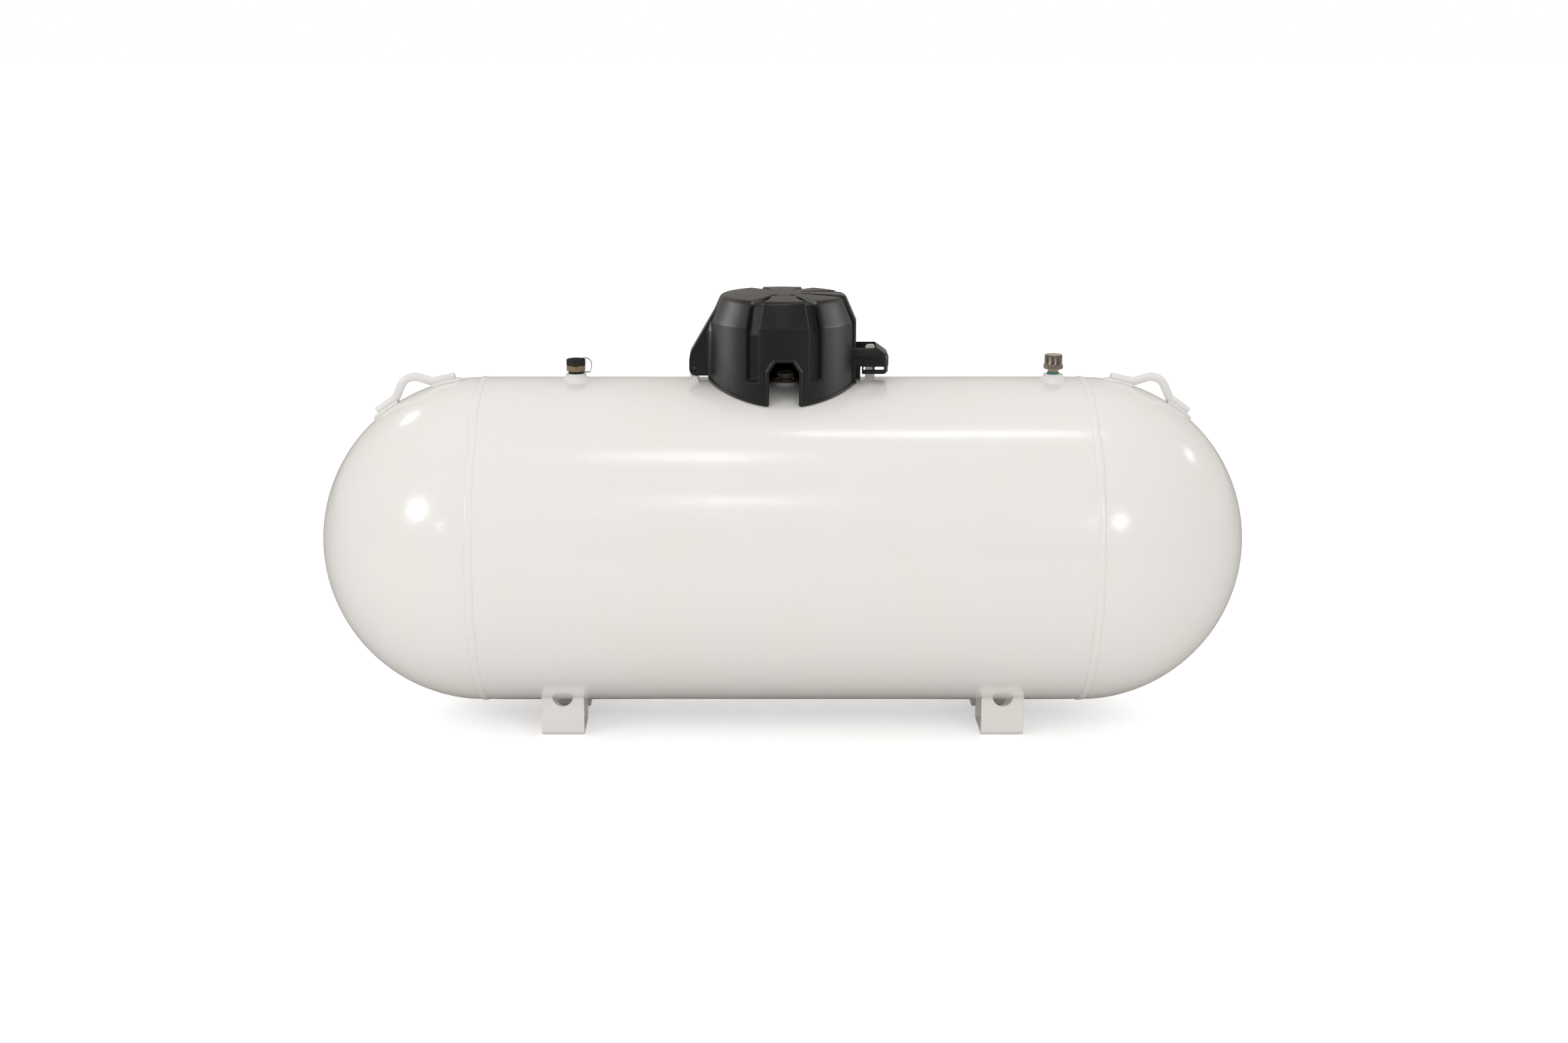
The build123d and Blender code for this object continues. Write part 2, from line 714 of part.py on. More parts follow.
# Dip tube with the guide of the poppet's stem in its top.
with BuildPart() as liquid_tube:
    post(lx, ly, LQ_TUBE_END, PIPE_BOTTOM, LQ_TUBE_R)
    post(lx, ly, LQ_TUBE_END, PIPE_BOTTOM, LQ_TUBE_BORE, Mode.SUBTRACT)
    post(lx, ly, PIPE_BOTTOM, LQ_GUIDE_Z, LQ_INLET_R)
    post(lx, ly, PIPE_BOTTOM, LQ_GUIDE_Z, LQ_STEM_R + RUN, Mode.SUBTRACT)
    with Locations((lx, ly, TOP + (PIPE_BOTTOM + LQ_GUIDE_Z) / 2)):
        with PolarLocations(LQ_GUIDE_HOLE_AT, 4):
            Cylinder(LQ_GUIDE_HOLE_R, LQ_GUIDE_Z - PIPE_BOTTOM, mode=Mode.SUBTRACT)
save(liquid_tube, "liquid_tube")

with BuildPart() as liquid_cap:
    post(lx, ly, LQ_CAP_Z0, LQ_CAP_TOP, LQ_CAP_R)
    fillet(liquid_cap.edges().group_by(Axis.Z)[-1], LQ_CAP_FILLET)
    post(lx, ly, LQ_CAP_TOP, LQ_KNOB_TOP, LQ_KNOB_R)
    post(lx, ly, LQ_CAP_Z0, LQ_ACME_TOP + LQ_GASKET_T, LQ_ACME_R + RUN, Mode.SUBTRACT)
save(liquid_cap, "liquid_cap")

with BuildPart() as liquid_gasket:
    post(lx, ly, LQ_ACME_TOP, LQ_ACME_TOP + LQ_GASKET_T, LQ_GASKET_R)
save(liquid_gasket, "liquid_gasket")

# Ring on the neck, with the ear that carries the strap clear of the hexagon.
with BuildPart() as liquid_ring:
    post(lx, ly, LQ_RING_Z0, LQ_RING_Z1, LQ_RING_R)
    with Locations((lx + LQ_EAR_REACH / 2, ly, TOP + LQ_EAR_Z)):
        Box(LQ_EAR_REACH, STRAP_W, LQ_EAR_T)
    post(lx, ly, LQ_RING_Z0, LQ_RING_Z1, LQ_NECK_R + RUN, Mode.SUBTRACT)
save(liquid_ring, "liquid_ring")

# Strap: eyelet round the cap's top knob, then a loop out and down to the ring's ear.
with BuildPart() as liquid_strap:
    post(lx, ly, STRAP_EYE_Z, STRAP_EYE_Z + STRAP_T, STRAP_EYE_R)
    post(lx, ly, STRAP_EYE_Z, STRAP_EYE_Z + STRAP_T, LQ_KNOB_R + 2 * RUN, Mode.SUBTRACT)
    with BuildLine():
        strap_path = Polyline(
            (lx + STRAP_EYE_R - 1, ly, TOP + STRAP_EYE_Z + STRAP_T / 2),
            (lx + LQ_CAP_R + 1, ly, TOP + LQ_KNOB_TOP + STRAP_T),
            (lx + STRAP_BULGE - 4, ly, TOP + LQ_CAP_TOP - 2),
            (lx + STRAP_BULGE, ly, TOP + LQ_HEX_Z1 + 2),
            (lx + LQ_EAR_REACH - 1, ly, TOP + STRAP_FOOT_Z),
        )
    for start, end in zip(strap_path.vertices()[:-1], strap_path.vertices()[1:]):
        a = Vector(start.X, start.Y, start.Z)
        b = Vector(end.X, end.Y, end.Z)
        with Locations(Plane(origin=(a + b) * 0.5, x_dir=(0, 1, 0), z_dir=b - a)):
            Box(STRAP_W, STRAP_T, (b - a).length + STRAP_T / 2)
save(liquid_strap, "liquid_strap")

# ================================================================ relief valve
rx, ry, relief_outer, relief_bore, relief_stand = RELIEF
with BuildPart() as relief_body:
    spanner_hex(rx, ry, RV_HEX_Z0, RV_HEX_Z1, RV_HEX_AF, 30)
    post(rx, ry, RV_BOTTOM, relief_stand, relief_bore)
    post(rx, ry, relief_stand, RV_HEX_Z0, RV_NECK_R)
    post(rx, ry, RV_HEX_Z1, RV_HOOD_TOP, RV_HOOD_R)
    chamfer(relief_body.edges().group_by(Axis.Z)[-1], 1)
    post(rx, ry, RV_HEX_Z1, RV_HOOD_TOP, RV_HOOD_BORE, Mode.SUBTRACT)
    post(rx, ry, RV_GUIDE_TOP, RV_HEX_Z1, RV_THROAT_R, Mode.SUBTRACT)
    post(rx, ry, RV_BOTTOM, RV_GUIDE_TOP, RV_STEM_R + RUN, Mode.SUBTRACT)
    with Locations((rx, ry, TOP + (RV_BOTTOM + RV_GUIDE_TOP) / 2)):
        with PolarLocations(RV_VENT_AT, 3):
            Cylinder(RV_VENT_R, RV_GUIDE_TOP - RV_BOTTOM, mode=Mode.SUBTRACT)
    # Ledge cut in the rim of the outlet.
    with Locations((rx + RV_LEDGE_AT, ry - RV_LEDGE_AT, TOP + RV_HOOD_TOP - RV_LEDGE_H / 2)):
        Box(RV_LEDGE, RV_LEDGE, RV_LEDGE_H, rotation=(0, 0, 45), mode=Mode.SUBTRACT)
save(relief_body, "relief_body")

with BuildPart() as relief_sealant:
    post(rx, ry, relief_stand, relief_stand + RV_SEAL_T, RV_SEAL_R)
    post(rx, ry, relief_stand, relief_stand + RV_SEAL_T, RV_NECK_R, Mode.SUBTRACT)
save(relief_sealant, "relief_sealant")

with BuildPart() as relief_poppet:
    hex_post(rx, ry, RV_NUT_Z0, RV_NUT_Z1, RV_NUT_AF)
    post(rx, ry, RV_HEX_Z1, RV_HEX_Z1 + RV_DISC_T, RV_DISC_R)
    post(rx, ry, RV_STEM_END, RV_HEX_Z1, RV_STEM_R)
save(relief_poppet, "relief_poppet")

with BuildPart() as relief_spring:
    coil(rx, ry, RV_NUT_Z1, RV_BOTTOM, RV_SPRING_R, RV_SPRING_WIRE, RV_SPRING_TURNS)
save(relief_spring, "relief_spring")

with BuildPart() as relief_cap:
    post(rx, ry, RV_CAP_Z0, RV_CAP_Z1, RV_HOOD_BORE - RUN)
    post(rx, ry, RV_CAP_Z0, RV_CAP_Z1 - RV_CAP_SKIN, RV_HOOD_BORE - RV_CAP_WALL, Mode.SUBTRACT)
save(relief_cap, "relief_cap")

# ================================================================ fill valve
vx, vy, fill_outer, fill_bore, fill_stand = FILL
with BuildPart() as fill_body:
    spanner_hex(vx, vy, fill_stand, FV_HEX_TOP, FV_HEX_AF)
    post(vx, vy, PIPE_BOTTOM, fill_stand, fill_bore)
    post(vx, vy, FV_HEX_TOP, FV_ACME_TOP, FV_ACME_R)
    chamfer(fill_body.edges().group_by(Axis.Z)[-1], 1)
    post(vx, vy, PIPE_BOTTOM, FV_SEAT_Z0, FV_INLET_R, Mode.SUBTRACT)
    post(vx, vy, FV_SEAT_Z0, FV_SEAT_Z1, FV_SEAT_R, Mode.SUBTRACT)
    post(vx, vy, FV_SEAT_Z1, FV_ACME_TOP, FV_THROAT_R, Mode.SUBTRACT)
save(fill_body, "fill_body")

with BuildPart() as fill_poppet:
    post(vx, vy, FV_DISC_Z, FV_SEAT_Z0, FV_DISC_R)
    post(vx, vy, FV_STEM_END, FV_STEM_TOP, FV_STEM_R)
save(fill_poppet, "fill_poppet")

with BuildPart() as fill_spring:
    coil(vx, vy, FV_HUB_Z1, FV_DISC_Z, FV_SPRING_R, FV_SPRING_WIRE, FV_SPRING_TURNS)
save(fill_spring, "fill_spring")

# Spider in the inlet: its hub guides the poppet above and the check disc below.
with BuildPart() as fill_guide:
    post(vx, vy, FV_GUIDE_Z0, FV_GUIDE_Z1, FV_INLET_R)
    post(vx, vy, FV_GUIDE_Z0, FV_GUIDE_Z1, FV_GUIDE_BORE, Mode.SUBTRACT)
    with Locations((vx, vy, TOP + (FV_GUIDE_Z0 + FV_GUIDE_Z1) / 2)):
        Box(2 * FV_GUIDE_BORE + 2, FV_GUIDE_ARM, FV_GUIDE_Z1 - FV_GUIDE_Z0)
        Box(FV_GUIDE_ARM, 2 * FV_GUIDE_BORE + 2, FV_GUIDE_Z1 - FV_GUIDE_Z0)
    post(vx, vy, FV_HUB_Z0, FV_HUB_Z1, FV_HUB_R)
    post(vx, vy, FV_HUB_Z0, FV_HUB_Z1, FV_STEM_R + RUN, Mode.SUBTRACT)
save(fill_guide, "fill_guide")

with BuildPart() as fill_check:
    post(vx, vy, PIPE_BOTTOM - FV_CHECK_T, PIPE_BOTTOM, FV_CHECK_R)
    post(vx, vy, PIPE_BOTTOM, FV_CHECK_STEM_TOP, FV_STEM_R)
save(fill_check, "fill_check")

with BuildPart() as fill_gasket:
    post(vx, vy, FV_ACME_TOP, FV_ACME_TOP + FV_GASKET_T, FV_GASKET_R)
save(fill_gasket, "fill_gasket")

with BuildPart() as fill_cap:
    post(vx, vy, FV_CAP_Z0, FV_CAP_TOP, FV_CAP_R)
    fillet(fill_cap.edges().group_by(Axis.Z)[-1], FV_CAP_FILLET)
    with Locations((vx, vy, TOP + FV_RIB_Z)):
        with PolarLocations(FV_RIB_AT, FV_RIB_COUNT):
            Cylinder(FV_RIB_R, FV_RIB_H)
    post(vx, vy, FV_CAP_Z0, FV_ACME_TOP + FV_GASKET_T, FV_ACME_R + RUN, Mode.SUBTRACT)
save(fill_cap, "fill_cap")

# ================================================================ service valve
sx, sy, service_outer, service_bore, service_stand = SERVICE
arm_end_y = sy - SV_ARM_REACH
vent_end_x = sx + SV_VENT_REACH
with BuildPart() as service_body:
    spanner_hex(sx, sy, service_stand, SV_HEX_TOP, SV_HEX_AF)
    post(sx, sy, PIPE_BOTTOM, service_stand, service_bore)
    post(sx, sy, SV_HEX_TOP, SV_BODY_TOP, SV_BODY_R)
    bar_y(sx, sy - SV_ARM_START, arm_end_y, SV_ARM_Z, SV_ARM_R)
    bar_x(sx + SV_BODY_R - 1, vent_end_x, sy, SV_VENT_Z, SV_VENT_ARM_R)
    post(sx, sy, PIPE_BOTTOM, SV_SEAT_Z, SV_BORE, Mode.SUBTRACT)
    post(sx, sy, SV_SEAT_Z, SV_BODY_TOP, SV_CHAMBER_R, Mode.SUBTRACT)
    bar_y(sx, sy, arm_end_y, SV_ARM_Z, SV_BORE, Mode.SUBTRACT)
    bar_y(sx, arm_end_y + SV_PLUG_BORE_L, arm_end_y, SV_ARM_Z, SV_PLUG_BORE, Mode.SUBTRACT)
    # Outage passage: up from the dip tube, then out sideways to the bleed screw.
    post(sx + SV_DIP_X, sy, PIPE_BOTTOM, SV_DIP_TOP, SV_DIP_R, Mode.SUBTRACT)
    post(sx + SV_DIP_X, sy, SV_DIP_TOP, SV_VENT_Z + 1, SV_VENT_BORE, Mode.SUBTRACT)
    bar_x(sx + SV_DIP_X, vent_end_x, sy, SV_VENT_Z, SV_VENT_BORE, Mode.SUBTRACT)
    bar_x(sx + SV_BLEED_X, vent_end_x, sy, SV_VENT_Z, SV_BLEED_BORE, Mode.SUBTRACT)
save(service_body, "service_body")

with BuildPart() as service_bonnet:
    spanner_hex(sx, sy, SV_BODY_TOP, SV_BONNET_HEX_TOP, SV_BONNET_AF)
    post(sx, sy, SV_BONNET_HEX_TOP, SV_BONNET_TOP, SV_BONNET_R)
    post(sx, sy, SV_BODY_TOP, SV_BONNET_TOP, SV_BORE + RUN, Mode.SUBTRACT)
save(service_bonnet, "service_bonnet")

with BuildPart() as service_seat:
    post(sx, sy, SV_SEAT_Z, SV_SEAT_TOP, SV_CHAMBER_R - RUN)
    post(sx, sy, SV_SEAT_Z + SV_SEAT_SKIN, SV_SEAT_TOP, SV_BORE + RUN, Mode.SUBTRACT)
save(service_seat, "service_seat")

with BuildPart() as service_stem:
    post(sx, sy, SV_STEM_Z0, SV_STEM_TOP, SV_BORE)
save(service_stem, "service_stem")

with BuildPart() as service_handwheel:
    post(sx, sy, SV_WHEEL_Z0, SV_WHEEL_Z1, SV_WHEEL_R)
    with Locations((sx, sy, TOP + (SV_WHEEL_Z0 + SV_WHEEL_Z1) / 2)):
        with PolarLocations(SV_LOBE_AT, SV_LOBES):
            Cylinder(SV_LOBE_R, SV_WHEEL_Z1 - SV_WHEEL_Z0)
        with PolarLocations(SV_WINDOW_AT, SV_LOBES, start_angle=180 / SV_LOBES):
            Cylinder(SV_WINDOW_R, SV_WHEEL_Z1 - SV_WHEEL_Z0, mode=Mode.SUBTRACT)
    post(sx, sy, SV_WHEEL_Z0, SV_WHEEL_Z1, SV_BORE, Mode.SUBTRACT)
save(service_handwheel, "service_handwheel")

with BuildPart() as handwheel_screw:
    post(sx, sy, SV_STEM_TOP, SV_SCREW_TOP, SV_SCREW_R)
    with Locations((sx, sy, TOP + SV_SCREW_TOP)):
        Box(3 * SV_SCREW_R, SLOT_W, 2 * SLOT_DEPTH, mode=Mode.SUBTRACT)
save(handwheel_screw, "handwheel_screw")

with BuildPart() as outlet_ring:
    ring_y0 = sy - PLUG_RING_Y + PLUG_RING_T / 2
    ring_y1 = sy - PLUG_RING_Y - PLUG_RING_T / 2
    bar_y(sx, ring_y0, ring_y1, SV_ARM_Z, PLUG_RING_R)
    bar_y(sx, ring_y0, ring_y1, SV_ARM_Z, PLUG_NOSE_R, Mode.SUBTRACT)
save(outlet_ring, "outlet_ring")

with BuildPart() as outlet_plug:
    nose_y = sy - PLUG_RING_Y
    body_y = sy - PLUG_BODY_Y
    bar_y(sx, nose_y + PLUG_NOSE_L / 2, nose_y - PLUG_NOSE_L / 2, SV_ARM_Z, PLUG_NOSE_R - RUN)
    bar_y(sx, body_y + PLUG_BODY_L / 2, body_y - PLUG_BODY_L / 2, SV_ARM_Z, SV_PLUG_BORE - RUN)
    with BuildSketch(Plane.XZ.offset(PLUG_HEX_Y0 - sy)):
        with Locations((sx, TOP + SV_ARM_Z)):
            RegularPolygon(PLUG_HEX_AF / 2, 6, major_radius=False)
    extrude(amount=PLUG_HEX_L)
save(outlet_plug, "outlet_plug")

with BuildPart() as dip_tube:
    post(sx + SV_DIP_X, sy, SV_DIP_END, SV_DIP_TOP, SV_DIP_R)
    post(sx + SV_DIP_X, sy, SV_DIP_END, SV_DIP_TOP, SV_DIP_BORE, Mode.SUBTRACT)
save(dip_tube, "dip_tube")

with BuildPart() as bleed_screw:
    head_x = sx + BLEED_HEAD_X
    bar_x(sx + BLEED_SHANK_X, head_x + 1, sy, SV_VENT_Z, SV_BLEED_BORE - RUN)
    bar_x(head_x, head_x + BLEED_HEAD_L, sy, SV_VENT_Z, BLEED_HEAD_R)
    with Locations((head_x + BLEED_HEAD_L, sy, TOP + SV_VENT_Z)):
        Box(3 * SLOT_DEPTH, SLOT_W, 3 * BLEED_HEAD_R, mode=Mode.SUBTRACT)
save(bleed_screw, "bleed_screw")

# ================================================================ float gauge
gx, gy, gauge_outer, gauge_bore, gauge_stand = GAUGE
with BuildPart() as gauge_gasket:
    post(gx, gy, gauge_stand, FG_FLANGE_Z0, FG_GASKET_R)
    post(gx, gy, gauge_stand, FG_FLANGE_Z0, gauge_bore, Mode.SUBTRACT)
    with Locations((gx, gy, TOP + gauge_stand)):
        with PolarLocations(FG_SCREW_AT, FG_SCREWS, start_angle=45):
            Cylinder(FG_SCREW_HOLE, 2 * FG_FLANGE_Z0, mode=Mode.SUBTRACT)
save(gauge_gasket, "gauge_gasket")

with BuildPart() as gauge_head:
    post(gx, gy, FG_FLANGE_Z0, FG_FLANGE_Z1, gauge_outer)
    post(gx, gy, FG_NECK_END, FG_FLANGE_Z0, FG_NECK_R)
    post(gx, gy, FG_CHAMBER_Z0, FG_WALL_Z, FG_CHAMBER_R, Mode.SUBTRACT)
    post(gx, gy, FG_NECK_END, FG_CHAMBER_Z0, FG_TUBE_R, Mode.SUBTRACT)
    with Locations((gx, gy, TOP)):
        with PolarLocations(FG_SCREW_AT, FG_SCREWS, start_angle=45):
            Cylinder(FG_SCREW_HOLE, 3 * FG_FLANGE_Z1, mode=Mode.SUBTRACT)
save(gauge_head, "gauge_head")

with BuildPart() as gauge_screws:
    with Locations((gx, gy, TOP)):
        with PolarLocations(FG_SCREW_AT, FG_SCREWS, start_angle=45):
            with Locations((0, 0, (FG_FLANGE_Z1 + FG_SCREW_TOP) / 2)):
                Cylinder(FG_SCREW_HEAD_R, FG_SCREW_TOP - FG_FLANGE_Z1)
            with Locations((0, 0, (FG_SCREW_END + FG_FLANGE_Z1) / 2)):
                Cylinder(FG_SCREW_R, FG_FLANGE_Z1 - FG_SCREW_END)
            with Locations((0, 0, FG_SCREW_TOP)):
                Box(2 * FG_SCREW_HEAD_R - 2, SLOT_W, 3 * SLOT_DEPTH, mode=Mode.SUBTRACT)
save(gauge_screws, "gauge_screws")

with BuildPart() as gauge_dial:
    post(gx, gy, FG_FLANGE_Z1, FG_DIAL_TOP, FG_DIAL_R)
    chamfer(gauge_dial.edges().group_by(Axis.Z)[-1], FG_DIAL_CHAMFER)
    post(gx, gy, FG_DIAL_FLOOR, FG_DIAL_TOP, FG_DIAL_BORE, Mode.SUBTRACT)
    post(gx, gy, FG_DIAL_FLOOR, FG_HUB_TOP, FG_HUB_R)
save(gauge_dial, "gauge_dial")

with BuildPart() as gauge_needle:
    post(gx, gy, FG_NEEDLE_Z0, FG_NEEDLE_Z0 + FG_NEEDLE_T, FG_NEEDLE_HUB_R)
    needle_mid = gx + (FG_NEEDLE_TAIL - FG_NEEDLE_REACH) / 2
    with Locations((needle_mid, gy, TOP + FG_NEEDLE_Z0 + FG_NEEDLE_T / 2)):
        Box(FG_NEEDLE_REACH + FG_NEEDLE_TAIL, FG_NEEDLE_W, FG_NEEDLE_T)
save(gauge_needle, "gauge_needle")

with BuildPart() as gauge_lens:
    post(gx, gy, FG_LENS_Z0, FG_LENS_Z1, FG_DIAL_BORE)
save(gauge_lens, "gauge_lens")

# Upright tube with the yoke for the arm's pivot at its lower end.
pivot_y = gy + FG_YOKE_Y
with BuildPart() as gauge_tube:
    post(gx, gy, FG_TUBE_END - R_OUT, FG_CHAMBER_Z0, FG_TUBE_R)
    bridge_mid = (FG_BRIDGE_BACK - FG_TUBE_R) / 2
    with Locations((gx, gy + bridge_mid, AXIS_H + (FG_BRIDGE_Z0 + FG_BRIDGE_Z1) / 2)):
        Box(FG_YOKE_W, FG_BRIDGE_BACK + FG_TUBE_R, FG_BRIDGE_Z1 - FG_BRIDGE_Z0)
    with Locations((gx, pivot_y, AXIS_H + (FG_YOKE_Z0 + FG_BRIDGE_Z1) / 2)):
        Box(FG_YOKE_W, FG_YOKE_T, FG_BRIDGE_Z1 - FG_YOKE_Z0)
    bar_y(gx, pivot_y - FG_YOKE_T, pivot_y + FG_YOKE_T, -R_OUT, PIVOT_R + RUN, Mode.SUBTRACT)
    post(gx, gy, GEAR_Z2 - R_OUT, FG_CHAMBER_Z0, FG_SHAFT_R + RUN, Mode.SUBTRACT)
save(gauge_tube, "gauge_tube")

# Shaft with the pinion at its lower end and the drive magnet under the head's solid wall.
with BuildPart() as gauge_shaft:
    with BuildSketch(Plane.XZ.offset(-gy)):
        with BuildLine():
            Polyline(
                (gx, AXIS_H + GEAR_Z0),
                (gx + GEAR_BACK_R, AXIS_H + GEAR_Z0),
                (gx + GEAR_RIM_R, AXIS_H + GEAR_Z1),
                (gx + GEAR_RIM_R, AXIS_H + GEAR_Z2),
                (gx, AXIS_H + GEAR_Z2),
                close=True,
            )
        make_face()
    revolve(axis=Axis((gx, gy, 0), (0, 0, 1)))
    post(gx, gy, GEAR_Z0 - R_OUT, FG_MAGNET_Z0, FG_SHAFT_R)
    post(gx, gy, FG_MAGNET_Z0, FG_MAGNET_Z1, FG_MAGNET_R)
save(gauge_shaft, "gauge_shaft")

# Arm with its bevel wheel, pivot stub and hub, and the counterweight on its short end.
arm_y = gy + ARM_Y
arm_far_x = gx + ARM_SHORT - ARM_LENGTH
with BuildPart() as float_arm:
    with BuildSketch(Plane.YZ.offset(gx)):
        with BuildLine():
            Polyline(
                (gy + WHEEL_Y0, AXIS_H),
                (gy + WHEEL_Y0, AXIS_H + WHEEL_R0),
                (gy + WHEEL_Y1, AXIS_H + WHEEL_R1),
                (gy + WHEEL_Y2, AXIS_H + WHEEL_R1),
                (gy + WHEEL_Y2, AXIS_H),
                close=True,
            )
        make_face()
    revolve(axis=Axis((gx, gy, AXIS_H), (0, 1, 0)))
    bar_y(gx, gy + WHEEL_Y2 - 1, arm_y, -R_OUT, PIVOT_R)
    bar_y(gx, arm_y - ARM_HUB_L / 2, arm_y + ARM_HUB_L / 2, -R_OUT, ARM_HUB_R)
    bar_x(arm_far_x - BULB_SOCKET, gx + ARM_SHORT, arm_y, -R_OUT, ARM_R)
    bar_x(gx + ARM_SHORT, gx + ARM_SHORT + WEIGHT_L, arm_y, -R_OUT, WEIGHT_R)
save(float_arm, "float_arm")

with BuildPart() as float_bulb:
    bar_x(arm_far_x - BULB_L, arm_far_x, arm_y, -R_OUT, BULB_R)
    fillet(float_bulb.edges(), BULB_FILLET)
    bar_x(arm_far_x - BULB_SOCKET, arm_far_x, arm_y, -R_OUT, ARM_R, Mode.SUBTRACT)
save(float_bulb, "float_bulb")

# ================================================================ dome


def dome_form(inset, channel_extra):
    """Solid form of the dome, inset all round, with its channels widened by channel_extra a side."""
    top = TOP + DOME_TOP - inset
    floor = top - CHANNEL_TOP_D
    floor_r = DOME_R - CHANNEL_D - inset
    with BuildPart() as form:
        with BuildSketch(Plane.XZ):
            with BuildLine():
                Polyline(
                    (0, TOP - DOME_SKIRT),
                    (DOME_R + DOME_DRAFT - inset, TOP - DOME_SKIRT),
                    (DOME_R - inset, TOP + DOME_SHOULDER),
                    (DOME_TOP_R - inset, top),
                    (0, top),
                    close=True,
                )
            make_face()
        revolve(axis=Axis.Z)
        # Channels run out from the centre boss, over the shoulder and down the wall.
        width = CHANNEL_W + 2 * channel_extra
        z0 = TOP + CHANNEL_END - channel_extra
        z1 = top + CHANNEL_D
        for angle in CHANNEL_AT:
            turn = angle - 90
            with Locations(Location((0, 0, (z0 + z1) / 2), (0, 0, turn))):
                with Locations((BOSS_R + CHANNEL_REACH / 2, 0, 0)):
                    Box(CHANNEL_REACH, width, z1 - z0, mode=Mode.SUBTRACT)
        with BuildSketch(Plane.XZ):
            with BuildLine():
                Polyline(
                    (0, TOP - DOME_SKIRT),
                    (floor_r, TOP - DOME_SKIRT),
                    (floor_r, TOP + DOME_SHOULDER - CHANNEL_BREAK),
                    (DOME_TOP_R - CHANNEL_TOP_D - inset, floor),
                    (0, floor),
                    close=True,
                )
            make_face()
        revolve(axis=Axis.Z)
    return form.part


def notch_outline(half_w, knee, top_half_w, top):
    """Front opening as an outline seen from the front: straight sides and a clipped top."""
    with BuildLine() as outline:
        Polyline(
            (-half_w, TOP - DOME_SKIRT),
            (-half_w, TOP + knee),
            (-top_half_w, TOP + top),
            (top_half_w, TOP + top),
            (half_w, TOP + knee),
            (half_w, TOP - DOME_SKIRT),
            close=True,
        )
    make_face(outline.edges())


dome_outer = dome_form(0, 0)
dome_inner = dome_form(DOME_T, DOME_T)
lip_r = DOME_R + LIP_OUT

# Lip along the rim that follows the shell.
with BuildPart() as rim_lip:
    with Locations((0, 0, TOP)):
        Cylinder(lip_r, 2 * DOME_SKIRT)
        Cylinder(DOME_R - LIP_ROOT, 2 * DOME_SKIRT, mode=Mode.SUBTRACT)
    with Locations((0, 0, AXIS_H)):
        Cylinder(R_OUT + DOME_GAP + LIP_W, 4 * DOME_R, rotation=(0, 90, 0), mode=Mode.INTERSECT)

# Lip round the front opening.
with BuildPart() as front_lip:
    with BuildSketch(Plane.XZ):
        notch_outline(
            NOTCH_HALF_W + LIP_W,
            NOTCH_KNEE + LIP_OUT,
            NOTCH_TOP_HALF_W + LIP_OUT,
            NOTCH_TOP + LIP_W,
        )
    extrude(amount=NOTCH_REACH)
    with Locations((0, 0, TOP)):
        Cylinder(lip_r, 3 * DOME_R, mode=Mode.INTERSECT)
        Cylinder(DOME_R - LIP_ROOT, 3 * DOME_R, mode=Mode.SUBTRACT)

